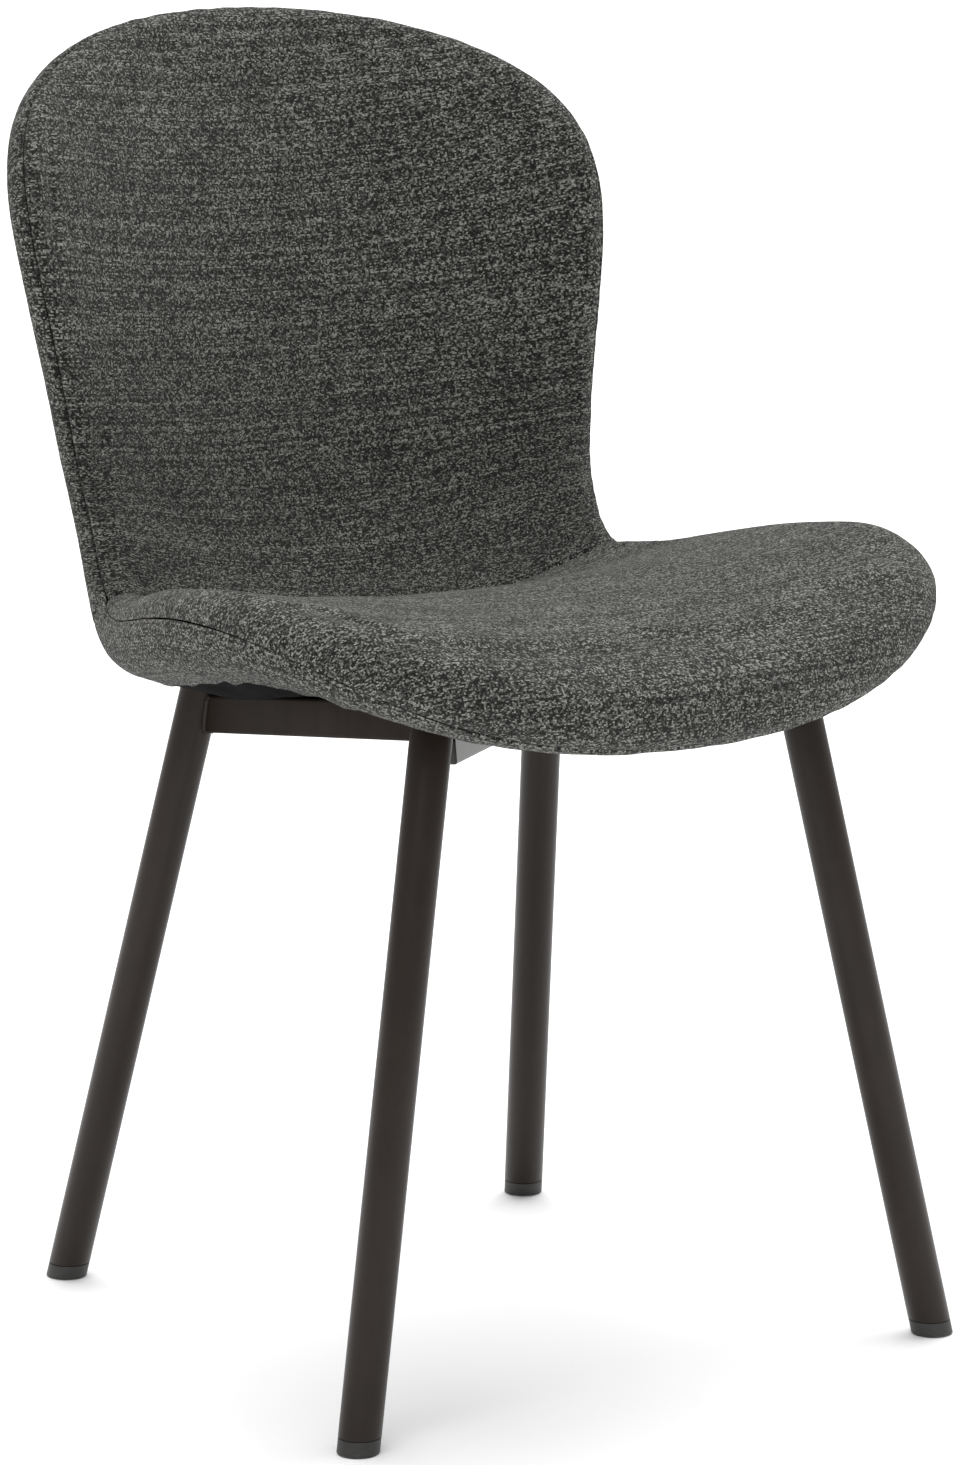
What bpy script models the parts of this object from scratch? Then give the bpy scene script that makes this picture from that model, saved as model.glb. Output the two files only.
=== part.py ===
"""Upholstered dining chair: a padded one-piece shell on a welded four-leg steel frame.

Units are metres, +Z is up and the sitter faces -Y.  The origin is the middle of the
chair's outline on the floor.  The parts are modelled about the middle of the four feet and
hang on one empty, which carries them to that origin.
"""
import bmesh
import bpy
import math
import numpy as np
from collections import namedtuple
from mathutils import Matrix, Vector

# ---------------------------------------------------------------- driving dimensions
GAP = 0.0003                  # clearance kept between touching pieces
OUTLINE_MIDDLE_Y = 0.0203     # middle of the overall depth, measured from the middle of the feet

# Steel frame.  Each leg axis runs from its foot on the floor to a point at LEG_GUIDE_Z.
LEG_RADIUS = 0.0131
LEG_WALL = 0.0015
LEG_GUIDE_Z = 0.440
LEG_AXES = {                  # side-less name: (foot x, foot y, guide x, guide y)
    "front": (0.2171, -0.2079, 0.1319, -0.1620),
    "rear": (0.1822, 0.2079, 0.1287, 0.1017),
}
FRAME_SLOPE = -0.1437         # dz/dy of the frame plane, higher at the front
FRAME_TOP_Z = 0.4163          # top of the side rails at y = 0
RAIL_X = 0.1275
RAIL_WIDTH = 0.016
RAIL_HEIGHT = 0.0241
RAIL_WALL = 0.0015
RAIL_SHORT = 0.004            # the rails stop this much short of the leg's middle
BRACE_WIDTH = 0.022
BRACE_HEIGHT = 0.034          # of the long diagonal
BRACE_HALF_HEIGHT = 0.019     # of the two halves that cross it
BRACE_DROP = 0.005            # top of the diagonal brace below the rail tops
BRACE_ROOM = 0.06             # size of the cutter that mitres the brace
LEG_CAP_THICK = 0.0015
LEG_TOP_DROP = {"front": 0.0065, "rear": -0.0095}   # leg tops below the plane of the rail tops
TAB_REACH = 0.043             # mounting tab, from the rail's inner face to its end
TAB_WIDTH = 0.028
TAB_THICK = 0.003
SCREW_X = 0.098

# Feet
GLIDE_HEIGHT = 0.009
GLIDE_STEM = 0.024
GLIDE_EDGE = 0.0018

# Fasteners.  Heights are over the tab's top.
FASTENINGS = (                # name, y, spacer height, lower end of the threaded insert
    ("front", -0.085, 0.0105, 0.0170),
    ("rear", 0.030, 0.0052, 0.0120),
)
SCREW_SHANK_R = 0.003
SCREW_HEAD_R = 0.0065
SCREW_HEAD_H = 0.0033
SCREW_GRIP = 0.0085           # length of the screw inside the insert
SCREW_HOLE_R = 0.0034
INSERT_R = 0.0065
INSERT_LENGTH = 0.0095
SPACER_R = 0.010
FASTENER_SIDES = 16

# Shell.  A station gives the mid-surface across the chair at one place along its middle line:
# y and z of the middle line, the width scale, how far the sides come forward and rise, and
# half the padded thickness.  "along" runs from -1 at the front lip to +1 at the top edge.
Station = namedtuple("Station", "along y z width forward rise half_thick")
STATIONS = (
    Station(-1.00, -0.239, 0.436, 0.287, -0.004, 0.009, 0.0260),   # front lip
    Station(-0.80, -0.194, 0.450, 0.310, -0.007, 0.045, 0.0240),
    Station(-0.55, -0.100, 0.457, 0.283, -0.004, 0.037, 0.0220),
    Station(-0.28, 0.021, 0.439, 0.228, -0.004, 0.024, 0.0240),    # deepest sitting point
    Station(-0.06, 0.121, 0.422, 0.185, -0.001, 0.035, 0.0188),    # fold between seat and back
    Station(0.10, 0.168, 0.462, 0.183, -0.020, 0.034, 0.0148),
    Station(0.28, 0.199, 0.520, 0.1955, -0.042, 0.022, 0.0132),    # waist
    Station(0.50, 0.228, 0.613, 0.2335, -0.077, 0.024, 0.0131),
    Station(0.72, 0.256, 0.708, 0.298, -0.126, 0.050, 0.0130),
    Station(0.88, 0.280, 0.772, 0.3275, -0.156, 0.050, 0.0132),
    Station(1.00, 0.2935, 0.8105, 0.3175, -0.145, 0.0525, 0.0125),  # top edge
)
FOLD_AT = -0.06               # "along" value of the fold where seat and back covers meet
CORE_HALF = 0.0045            # half the plywood thickness
CORE_DEPTH = 0.0125           # plywood mid-plane above the outer skin
CORE_EDGE = 0.92              # the plywood ends inside this fraction of the padded outline
COVER_THICK = 0.0015
SEAM_BACK = math.radians(70)  # angle round the edge to the cover seam, from the sitter's side
SEAM_FRONT = math.radians(118)
SEAM_SLIT = math.radians(3)
HEM = 0.80                    # the cover under the seat reaches in to this fraction
CLOTH_THICK = 0.0009
RECESS = 0.0030               # the underside lies this much higher inside the hem
RECESS_EDGE = 0.66            # and is at that height inside this fraction
SHELL_ACROSS = 14             # grid cells across the shell
SEAT_ROWS = 10                # grid cells from front lip to fold
BACK_ROWS = 12                # grid cells from fold to top edge
PANEL_GAP = 0.03              # half the gap between seat and back covers, in grid cells
WRAP_ROWS = 2                 # grid cells round the edge, on each layer
WRAP = 0.18                   # width of those cells in grid units

# ---------------------------------------------------------------- materials
COLOURS = {                   # name: (base colour, roughness, metallic)
    "fabric": ((0.055, 0.056, 0.053), 0.95, 0.0),
    "steel_paint": ((0.030, 0.026, 0.023), 0.45, 0.0),
    "plywood": ((0.52, 0.36, 0.20), 0.60, 0.0),
    "foam": ((0.80, 0.76, 0.55), 0.95, 0.0),
    "wadding": ((0.75, 0.75, 0.73), 0.95, 0.0),
    "dust_cloth": ((0.012, 0.012, 0.014), 0.90, 0.0),
    "glide_plastic": ((0.022, 0.020, 0.019), 0.55, 0.0),
    "zinc_steel": ((0.55, 0.55, 0.56), 0.35, 1.0),
}


def make_material(name):
    """Return the named Principled material, making it the first time."""
    found = bpy.data.materials.get(name)
    if found:
        return found
    colour, roughness, metallic = COLOURS[name]
    material = bpy.data.materials.new(name)
    material.use_nodes = True
    shader = material.node_tree.nodes["Principled BSDF"]
    shader.inputs["Base Color"].default_value = (*colour, 1.0)
    shader.inputs["Roughness"].default_value = roughness
    shader.inputs["Metallic"].default_value = metallic
    material.diffuse_color = (*colour, 1.0)
    return material


# ---------------------------------------------------------------- scene helpers
def clear_scene():
    """Remove every object that the scene starts with."""
    for item in list(bpy.data.objects):
        bpy.data.objects.remove(item, do_unlink=True)


def new_collection(name):
    """Make a collection under the scene's own."""
    collection = bpy.data.collections.new(name)
    bpy.context.scene.collection.children.link(collection)
    return collection


def add_part(mesh, name, material):
    """Put a mesh in the chair's collection as one named part."""
    part = bpy.data.objects.new(name, mesh)
    mesh.materials.append(make_material(material))
    PARTS.objects.link(part)
    part.parent = ROOT
    return part


def add_cutter(mesh, name):
    """Put a mesh in the cutters' collection, unseen in renders."""
    cutter = bpy.data.objects.new(name, mesh)
    CUTTERS.objects.link(cutter)
    cutter.parent = ROOT
    cutter.hide_render = True
    cutter.display_type = "WIRE"
    return cutter


def cut(part, *cutters):
    """Take the cutters away from a part."""
    for cutter in cutters:
        boolean = part.modifiers.new("cut_" + cutter.name, "BOOLEAN")
        boolean.operation = "DIFFERENCE"
        boolean.solver = "EXACT"
        boolean.object = cutter


def mesh_from(bm, name, smooth_angle=35):
    """Turn a bmesh into a shaded mesh."""
    bmesh.ops.recalc_face_normals(bm, faces=bm.faces)
    if bm.calc_volume(signed=True) < 0:
        bmesh.ops.reverse_faces(bm, faces=bm.faces)
    mesh = bpy.data.meshes.new(name)
    bm.to_mesh(mesh)
    bm.free()
    mesh.shade_smooth()
    mesh.set_sharp_from_angle(angle=math.radians(smooth_angle))
    return mesh


# ---------------------------------------------------------------- frame geometry
FRAME_UP = Vector((0.0, -FRAME_SLOPE, 1.0)).normalized()
FRAME_BACK = Vector((0.0, 1.0, FRAME_SLOPE)).normalized()


def frame_point(x, y, below=0.0):
    """A point on the plane of the rail tops, or that far below it."""
    return Vector((x, y, FRAME_TOP_Z + FRAME_SLOPE * y)) - FRAME_UP * below


def leg_axis(place, side):
    """Foot point and unit direction, going up, of one leg's axis."""
    foot_x, foot_y, guide_x, guide_y = LEG_AXES[place]
    foot = Vector((side * foot_x, foot_y, 0.0))
    guide = Vector((side * guide_x, guide_y, LEG_GUIDE_Z))
    return foot, (guide - foot).normalized()


def on_leg(place, side, z):
    """The point of a leg's axis at height z."""
    foot, up = leg_axis(place, side)
    return foot + up * ((z - foot.z) / up.z)


def rod(start, end, radius, sides=24):
    """A bmesh cylinder between two points."""
    bm = bmesh.new()
    axis = end - start
    bmesh.ops.create_cone(bm, cap_ends=True, segments=sides, radius1=radius, radius2=radius,
                          depth=axis.length)
    turn = axis.to_track_quat("Z", "Y").to_matrix().to_4x4()
    bmesh.ops.transform(bm, matrix=Matrix.Translation((start + end) / 2) @ turn, verts=bm.verts)
    return bm


def slice_off(bm, point, normal):
    """Cut a closed bmesh by a plane, drop what is on the normal's side and close the cut."""
    found = bmesh.ops.bisect_plane(bm, geom=bm.verts[:] + bm.edges[:] + bm.faces[:],
                                   plane_co=point, plane_no=normal, clear_outer=True)
    edges = [item for item in found["geom_cut"] if isinstance(item, bmesh.types.BMEdge)]
    bmesh.ops.holes_fill(bm, edges=edges, sides=0)


def beam(start, end, width, height, up):
    """A bmesh box whose top middle line runs between two points."""
    along = (end - start).normalized()
    across = along.cross(up).normalized()
    normal = across.cross(along)
    bm = bmesh.new()
    bmesh.ops.create_cube(bm, size=1.0)
    turn = Matrix((along, across, normal)).transposed().to_4x4()
    size = Matrix.Diagonal(((end - start).length, width, height, 1.0))
    middle = (start + end) / 2 - normal * (height / 2)
    bmesh.ops.transform(bm, matrix=Matrix.Translation(middle) @ turn @ size, verts=bm.verts)
    return bm


# ---------------------------------------------------------------- frame parts
def build_leg(place, side, name):
    """A round tube leg, cut level above its glide and flush with the frame at the top."""
    low, high = on_leg(place, side, -0.03), on_leg(place, side, 0.47)
    bm = rod(low, high, LEG_RADIUS)
    slice_off(bm, Vector((0, 0, GLIDE_HEIGHT + GAP)), Vector((0, 0, -1)))
    slice_off(bm, frame_point(0, 0, LEG_TOP_DROP[place]), FRAME_UP)
    leg = add_part(mesh_from(bm, name), name, "steel_paint")
    bore = add_cutter(mesh_from(rod(low, high, LEG_RADIUS - LEG_WALL), name), name + "_bore")
    cut(leg, bore)
    return leg


def build_glide(place, side, name):
    """A plastic foot: a level pad the size of the leg and a stem up its bore."""
    foot, up = leg_axis(place, side)
    pad = rod(foot - up * 0.03, on_leg(place, side, 0.03), LEG_RADIUS - 0.0002)
    slice_off(pad, Vector((0, 0, GLIDE_HEIGHT)), Vector((0, 0, 1)))
    slice_off(pad, Vector((0, 0, 0)), Vector((0, 0, -1)))
    rim = [edge for edge in pad.edges if all(vert.co.z < 1e-6 for vert in edge.verts)]
    bmesh.ops.bevel(pad, geom=rim, offset=GLIDE_EDGE, segments=2, profile=0.5, affect="EDGES")
    glide = add_part(mesh_from(pad, name), name, "glide_plastic")
    stem = rod(foot + up * 0.004, foot + up * (GLIDE_HEIGHT + GLIDE_STEM),
               LEG_RADIUS - LEG_WALL - GAP)
    plug = add_cutter(mesh_from(stem, name), name + "_stem")
    join = glide.modifiers.new("stem", "BOOLEAN")
    join.operation = "UNION"
    join.object = plug
    return glide


def build_leg_cap(place, side, name):
    """A thin disc that closes the tube end under the seat."""
    low, high = on_leg(place, side, 0.38), on_leg(place, side, 0.47)
    bm = rod(low, high, LEG_RADIUS)
    low_face = LEG_TOP_DROP[place] - GAP
    slice_off(bm, frame_point(0, 0, low_face), -FRAME_UP)
    slice_off(bm, frame_point(0, 0, low_face - LEG_CAP_THICK), FRAME_UP)
    return add_part(mesh_from(bm, name), name, "glide_plastic")


def leg_cutter(place, side):
    """The leg's space, with its clearance, to trim what is welded to it."""
    bm = rod(on_leg(place, side, 0.30), on_leg(place, side, 0.52), LEG_RADIUS + GAP)
    name = f"space_{place}_{side:+d}"
    return add_cutter(mesh_from(bm, name), name)


def rail_ends(side):
    """Ends of a side rail's top middle line."""
    return (frame_point(side * RAIL_X, on_leg("front", side, 0.42).y + RAIL_SHORT),
            frame_point(side * RAIL_X, on_leg("rear", side, 0.40).y - RAIL_SHORT))


def rail_cutter(side, name):
    """All the space beyond a rail's inner face, to mitre the brace against it."""
    front, rear = rail_ends(side)
    out = Vector((side * (BRACE_ROOM / 2 - RAIL_WIDTH / 2 - GAP), 0.0, 0.0))
    lift, reach = FRAME_UP * RAIL_HEIGHT, FRAME_BACK * BRACE_ROOM
    bm = beam(front - reach + lift + out, rear + reach + lift + out, BRACE_ROOM,
              RAIL_HEIGHT * 4, FRAME_UP)
    return add_cutter(mesh_from(bm, name), name)


def build_side_rail(side, name, leg_spaces):
    """A rectangular tube between the front and rear leg of one side."""
    front, rear = rail_ends(side)
    bm = beam(front, rear, RAIL_WIDTH, RAIL_HEIGHT, FRAME_UP)
    rail = add_part(mesh_from(bm, name), name, "steel_paint")
    reach = FRAME_BACK * 0.02
    hollow = beam(front - reach - FRAME_UP * RAIL_WALL, rear + reach - FRAME_UP * RAIL_WALL,
                  RAIL_WIDTH - 2 * RAIL_WALL, RAIL_HEIGHT - 2 * RAIL_WALL, FRAME_UP)
    inside = add_cutter(mesh_from(hollow, name), name + "_inside")
    cut(rail, inside, leg_spaces["front", side], leg_spaces["rear", side])
    return rail


def brace_ends(side):
    """End points of the diagonal that starts at one front leg."""
    front = on_leg("front", side, 0.42)
    rear = on_leg("rear", -side, 0.39)
    return frame_point(front.x, front.y, BRACE_DROP), frame_point(rear.x, rear.y, BRACE_DROP)


def build_brace(leg_spaces, rail_spaces):
    """The crossed braces: one long tube and two halves butted against it."""
    start, end = brace_ends(-1)
    long_bm = beam(start, end, BRACE_WIDTH, BRACE_HEIGHT, FRAME_UP)
    long_brace = add_part(mesh_from(long_bm, "brace_long"), "brace_long", "steel_paint")
    hollow_brace(long_brace, start, end, BRACE_HEIGHT)
    cut(long_brace, leg_spaces["front", -1], leg_spaces["rear", 1], *rail_spaces)
    space = beam(start, end, BRACE_WIDTH + 2 * GAP, BRACE_HEIGHT * 2, FRAME_UP)
    bmesh.ops.translate(space, verts=space.verts, vec=FRAME_UP * BRACE_HEIGHT / 2)
    middle_space = add_cutter(mesh_from(space, "brace_space"), "brace_space")
    front, rear = brace_ends(1)
    middle = (front + rear) / 2
    halves = (("brace_half_front", front, middle, ("front", 1)),
              ("brace_half_rear", middle, rear, ("rear", -1)))
    for name, first, last, leg in halves:
        bm = beam(first, last, BRACE_WIDTH, BRACE_HALF_HEIGHT, FRAME_UP)
        half = add_part(mesh_from(bm, name), name, "steel_paint")
        hollow_brace(half, first, last, BRACE_HALF_HEIGHT)
        cut(half, middle_space, leg_spaces[leg], *rail_spaces)


def hollow_brace(part, start, end, height):
    """Open the inside of a brace tube."""
    reach = (end - start).normalized() * 0.03
    lower = FRAME_UP * RAIL_WALL
    bm = beam(start - reach - lower, end + reach - lower, BRACE_WIDTH - 2 * RAIL_WALL,
              height - 2 * RAIL_WALL, FRAME_UP)
    cut(part, add_cutter(mesh_from(bm, part.name), part.name + "_inside"))


# ---------------------------------------------------------------- fasteners
def screw_point(side, y, above=0.0):
    """A point on a fastening's axis, measured from the tab's top."""
    return frame_point(side * SCREW_X, y, -above)


def screw_rod(side, y, low, high, radius):
    """A bmesh cylinder on a fastening's axis between two heights over the tab's top."""
    return rod(screw_point(side, y, low), screw_point(side, y, high), radius, FASTENER_SIDES)


def build_tab(side, y, name):
    """A flat steel tab welded to the rail, with a hole for its screw."""
    inner = side * (RAIL_X - RAIL_WIDTH / 2 - GAP)
    bm = beam(frame_point(inner, y), frame_point(inner - side * TAB_REACH, y), TAB_WIDTH,
              TAB_THICK, FRAME_UP)
    tab = add_part(mesh_from(bm, name), name, "steel_paint")
    hole = screw_rod(side, y, -0.01, 0.01, SCREW_HOLE_R)
    cut(tab, add_cutter(mesh_from(hole, name), name + "_hole"))


def build_ring(side, y, low, high, radius, name, material):
    """A spacer or a threaded insert: a short sleeve round the screw."""
    sleeve = add_part(mesh_from(screw_rod(side, y, low, high, radius), name), name, material)
    bore = screw_rod(side, y, low - 0.01, high + 0.01, SCREW_HOLE_R)
    cut(sleeve, add_cutter(mesh_from(bore, name), name + "_bore"))


def build_screw(side, y, tip, name):
    """A pan-head screw from under the tab up to its tip in the insert: a turned profile."""
    head_top = -TAB_THICK - GAP
    profile = ((0.0, tip), (SCREW_SHANK_R - 0.0006, tip),
               (SCREW_SHANK_R, tip - 0.0006), (SCREW_SHANK_R, head_top),
               (SCREW_HEAD_R, head_top), (SCREW_HEAD_R, head_top - SCREW_HEAD_H * 0.4),
               (SCREW_HEAD_R * 0.72, head_top - SCREW_HEAD_H), (0.0, head_top - SCREW_HEAD_H))
    bm = bmesh.new()
    points = [bm.verts.new((radius, 0.0, height)) for radius, height in profile]
    for first, second in zip(points, points[1:]):
        bm.edges.new((first, second))
    mesh = bpy.data.meshes.new(name)
    bm.to_mesh(mesh)
    bm.free()
    screw = add_part(mesh, name, "zinc_steel")
    turn = screw.modifiers.new("turn", "SCREW")
    turn.steps = turn.render_steps = FASTENER_SIDES
    turn.use_merge_vertices = True
    turn.merge_threshold = 0.00005
    screw.location = screw_point(side, y)
    screw.rotation_euler = FRAME_UP.to_track_quat("Z", "Y").to_euler()


def build_fastening(side, y, spacer_height, insert_start, place):
    """Tab, spacer, screw and insert at one corner; returns the space they need in the shell."""
    insert_end = insert_start + INSERT_LENGTH
    build_tab(side, y, "mount_tab_" + place)
    build_ring(side, y, GAP, spacer_height, SPACER_R, "spacer_" + place, "glide_plastic")
    build_ring(side, y, insert_start, insert_end, INSERT_R, "insert_" + place, "zinc_steel")
    build_screw(side, y, insert_start + SCREW_GRIP, "screw_" + place)
    space = screw_rod(side, y, -0.02, insert_end + GAP, INSERT_R + GAP)
    return add_cutter(mesh_from(space, "space_" + place), "shell_hole_" + place)


# ---------------------------------------------------------------- shell surface
def spline_table(stations):
    """Second derivatives of the cubic curve through the stations, smooth at both ends."""
    knots = np.array([item.along for item in stations])
    values = np.array([item[1:] for item in stations])
    count, step = len(knots), np.diff(knots)
    system, right = np.zeros((count, count)), np.zeros_like(values)
    for i in range(1, count - 1):
        system[i, i - 1:i + 2] = step[i - 1], 2 * (step[i - 1] + step[i]), step[i]
        right[i] = 6 * ((values[i + 1] - values[i]) / step[i]
                        - (values[i] - values[i - 1]) / step[i - 1])
    system[0, :3] = step[1], -step[0] - step[1], step[0]
    system[-1, -3:] = step[-1], -step[-2] - step[-1], step[-2]
    return knots, values, np.linalg.solve(system, right)


KNOTS, VALUES, BENDS = spline_table(STATIONS)


def station_at(along):
    """Interpolated station values (y, z, width, forward, rise, half_thick)."""
    i = int(np.clip(np.searchsorted(KNOTS, along) - 1, 0, len(KNOTS) - 2))
    step = KNOTS[i + 1] - KNOTS[i]
    right = (along - KNOTS[i]) / step
    left = 1 - right
    curve = (left ** 3 - left) * BENDS[i] + (right ** 3 - right) * BENDS[i + 1]
    return left * VALUES[i] + right * VALUES[i + 1] + curve * step * step / 6


def mid_point(across, along):
    """Point of the shell's mid-surface; across and along lie in the unit disc."""
    y, z, width, forward, rise, _ = station_at(along)
    return Vector((width * across, y + forward * across ** 2, z + rise * across ** 2))


def shell_frame(across, along):
    """Mid-surface point, its two tangents and the normal on the sitter's side."""
    tiny = 1e-4
    side = mid_point(across + tiny, along) - mid_point(across - tiny, along)
    ahead = mid_point(across, along + tiny) - mid_point(across, along - tiny)
    return mid_point(across, along), side, ahead, side.cross(ahead).normalized()


def disc_place(a, b):
    """Carry a place in the unit square to the unit disc."""
    return a * math.sqrt(1 - b * b / 2), b * math.sqrt(1 - a * a / 2)


def edge_outward(across, along):
    """Direction out of the shell at its edge, in its own surface."""
    _, side, ahead, normal = shell_frame(across, along)
    tangent = (ahead * across - side * along).normalized()
    outward = tangent.cross(normal)
    return outward if outward.dot(side * across + ahead * along) > 0 else -outward


def core_offset(half_thick):
    """Height of the plywood's mid-plane over the mid-surface."""
    return CORE_DEPTH - half_thick


def seam_angle(along):
    """Angle round the edge to the cover seam, growing under the front lip."""
    share = min(max((-along - 0.35) / 0.55, 0.0), 1.0)
    share = share * share * (3 - 2 * share)
    return SEAM_BACK + (SEAM_FRONT - SEAM_BACK) * share


def skin_point(a, b, depth, wrap_to):
    """A point under the padded skin, on the sitter's side for wrap_to > 0.

    a and b are grid coordinates; beyond the unit square they go round the edge.
    depth(reach, half_thick) is the distance from the mid-surface, and wrap_to(along) the
    angle round the edge at the grid's outer rim, measured from the layer's own normal.
    """
    reach = max(abs(a), abs(b))
    over = max(reach - 1.0, 0.0) / WRAP
    shrink = 1.0 / max(reach, 1.0)
    across, along = disc_place(a * shrink, b * shrink)
    middle, _, _, normal = shell_frame(across, along)
    distance = depth(min(reach, 1.0), station_at(along)[5])
    if over == 0.0:
        return middle + normal * distance
    angle = wrap_to(along) * over
    outward = edge_outward(across, along)
    return middle + normal * (distance * math.cos(angle)) + outward * (
        abs(distance) * math.sin(angle))


def grid_lines(core_lines, low_wrap, high_wrap):
    """Grid coordinates with wrap rows beyond either end."""
    steps = [WRAP * (i + 1) / WRAP_ROWS for i in range(WRAP_ROWS)]
    lines = list(core_lines)
    if low_wrap:
        lines = [core_lines[0] - step for step in reversed(steps)] + lines
    if high_wrap:
        lines += [core_lines[-1] + step for step in steps]
    return lines


def shell_rows(part_of_shell):
    """Row lines of the seat, of the back or of the whole shell, the same for every layer."""
    seat = np.linspace(-1.0, FOLD_AT, SEAT_ROWS + 1)
    back = np.linspace(FOLD_AT, 1.0, BACK_ROWS + 1)
    if part_of_shell == "whole":
        return [*seat, *back[1:]]
    return list(seat if part_of_shell == "seat" else back)


def open_fold(bm, rows, part_of_shell):
    """Draw a panel's fold row back along its own facets, so that two panels stay apart."""
    if part_of_shell == "whole":
        return
    fold_row, next_row = (rows[-1], rows[-2]) if part_of_shell == "seat" else (rows[0], rows[1])
    flat = bm.verts.layers.float_vector["flat"]
    for edge in bm.edges:
        for vert in edge.verts:
            other = edge.other_vert(vert)
            same_layer = abs(vert[flat].z - other[flat].z) < 0.5
            if (same_layer and abs(vert[flat].y - fold_row) < 1e-5
                    and abs(other[flat].y - next_row) < 1e-5
                    and abs(vert[flat].x - other[flat].x) < 1e-5):
                vert.co = vert.co.lerp(other.co, PANEL_GAP)


def split_quads(bm):
    """Split the inner quads of every layer along the same diagonal, so that holes cut later
    leave neighbouring layers face to face."""
    flat = bm.verts.layers.float_vector["flat"]
    for face in bm.faces[:]:
        corners = sorted(face.verts, key=lambda vert: vert[flat].x + vert[flat].y)
        reach = max(max(abs(vert[flat].x), abs(vert[flat].y)) for vert in corners)
        if reach < HEM and len({vert[flat].z for vert in corners}) == 1:
            bmesh.utils.face_split(face, corners[0], corners[-1])


def bent_slab(name, material, part_of_shell, inner, outer, wrap_to=None, keep=None):
    """A slab bent onto the shell: a flat grid, extruded once, whose layers are then placed.

    inner and outer are the depth functions of its two faces; keep(reach) picks its cells.
    """
    wraps = wrap_to is not None
    columns = grid_lines(np.linspace(-1.0, 1.0, SHELL_ACROSS + 1), wraps, wraps)
    rows = grid_lines(shell_rows(part_of_shell), wraps and part_of_shell != "back",
                      wraps and part_of_shell != "seat")
    bm = bmesh.new()
    flat = bm.verts.layers.float_vector.new("flat")
    bmesh.ops.create_grid(bm, x_segments=len(columns) - 1, y_segments=len(rows) - 1, size=0.5)
    for vert in bm.verts:
        column = round((vert.co.x + 0.5) * (len(columns) - 1))
        row = round((vert.co.y + 0.5) * (len(rows) - 1))
        vert.co = (columns[column], rows[row], 0.0)
    if keep:
        middles = {face: face.calc_center_median() for face in bm.faces}
        spare = [face for face, middle in middles.items()
                 if not keep(max(abs(middle.x), abs(middle.y)))]
        bmesh.ops.delete(bm, geom=spare, context="FACES")
    made = bmesh.ops.extrude_face_region(bm, geom=bm.faces[:])["geom"]
    lifted = {item for item in made if isinstance(item, bmesh.types.BMVert)}
    angle = wrap_to or (lambda along: 0.0)
    for vert in bm.verts:
        upper = vert in lifted
        vert[flat] = (vert.co.x, vert.co.y, float(upper))
        vert.co = skin_point(vert.co.x, vert.co.y, outer if upper else inner, angle)
    open_fold(bm, rows, part_of_shell)
    split_quads(bm)
    return add_part(mesh_from(bm, name, 60), name, material)


# ---------------------------------------------------------------- shell layers
def core_top(reach, half_thick):
    """Sitter's side of the plywood, running out to nothing at the padded edge."""
    fade = min(max((reach - CORE_EDGE) / (1 - CORE_EDGE), 0.0), 1.0)
    flat = core_offset(half_thick) + CORE_HALF + GAP
    return flat * (1 - fade) + 0.0012 * fade


def core_bottom(reach, half_thick):
    """Outer side of the plywood, running out in the same way."""
    fade = min(max((reach - CORE_EDGE) / (1 - CORE_EDGE), 0.0), 1.0)
    flat = core_offset(half_thick) - CORE_HALF - GAP
    return flat * (1 - fade) - 0.0012 * fade


def rear_angle(along):
    """Angle round the edge to the cover seam, from the outer side."""
    return math.pi - seam_angle(along) - SEAM_SLIT


def recess(reach):
    """How far the underside of the seat is drawn up inside the hem."""
    share = min(max((HEM - reach) / (HEM - RECESS_EDGE), 0.0), 1.0)
    return RECESS * share


def recessed(depth):
    """The same depth function, following the recess under the seat."""
    return lambda reach, half: depth(reach, half) + recess(reach)


def skin_under(clear):
    """Depth functions a given distance under the padded skin, front and rear."""
    return (lambda reach, half: half - clear), (lambda reach, half: clear - half)


def build_shell_layers(holes):
    """Plywood core, foam, wadding, covers and dust cloth, from the inside out."""
    front_face, rear_face = skin_under(0.0)
    front_lining, rear_lining = skin_under(COVER_THICK)
    front_foam, rear_foam = skin_under(COVER_THICK + GAP)
    cloth_face = skin_under(COVER_THICK + GAP)[1]
    cloth_back = skin_under(COVER_THICK + GAP + CLOTH_THICK)[1]
    over_cloth = skin_under(COVER_THICK + CLOTH_THICK + 2 * GAP)[1]
    pierced = [bent_slab("shell_core", "plywood", "whole",
                         lambda reach, half: core_offset(half) - CORE_HALF,
                         lambda reach, half: core_offset(half) + CORE_HALF,
                         keep=lambda reach: reach < CORE_EDGE)]
    for where in ("seat", "back"):
        foam = bent_slab(where + "_foam", "foam", where, core_top, front_foam, seam_angle)
        rear = recessed(over_cloth) if where == "seat" else rear_foam
        wadding = bent_slab(where + "_wadding", "wadding", where, rear, core_bottom)
        if where == "seat":
            pierced += [foam, wadding]
        bent_slab(where + "_cover", "fabric", where, front_lining, front_face, seam_angle)
    bent_slab("rear_cover", "fabric", "back", rear_face, rear_lining, rear_angle)
    bent_slab("seat_side_band", "fabric", "seat", rear_face, rear_lining, rear_angle,
              keep=lambda reach: reach > HEM)
    pierced.append(bent_slab("dust_cloth", "dust_cloth", "seat", recessed(cloth_face),
                             recessed(cloth_back), keep=lambda reach: reach < HEM))
    for layer in pierced:
        cut(layer, *holes)


# ---------------------------------------------------------------- build
clear_scene()
PARTS = new_collection("dining_chair")
CUTTERS = new_collection("cutters")
ROOT = bpy.data.objects.new("chair_root", None)
PARTS.objects.link(ROOT)
ROOT.location = (0.0, -OUTLINE_MIDDLE_Y, 0.0)

SIDES = ((-1, "right"), (1, "left"))      # the sitter's right is at -X


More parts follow.
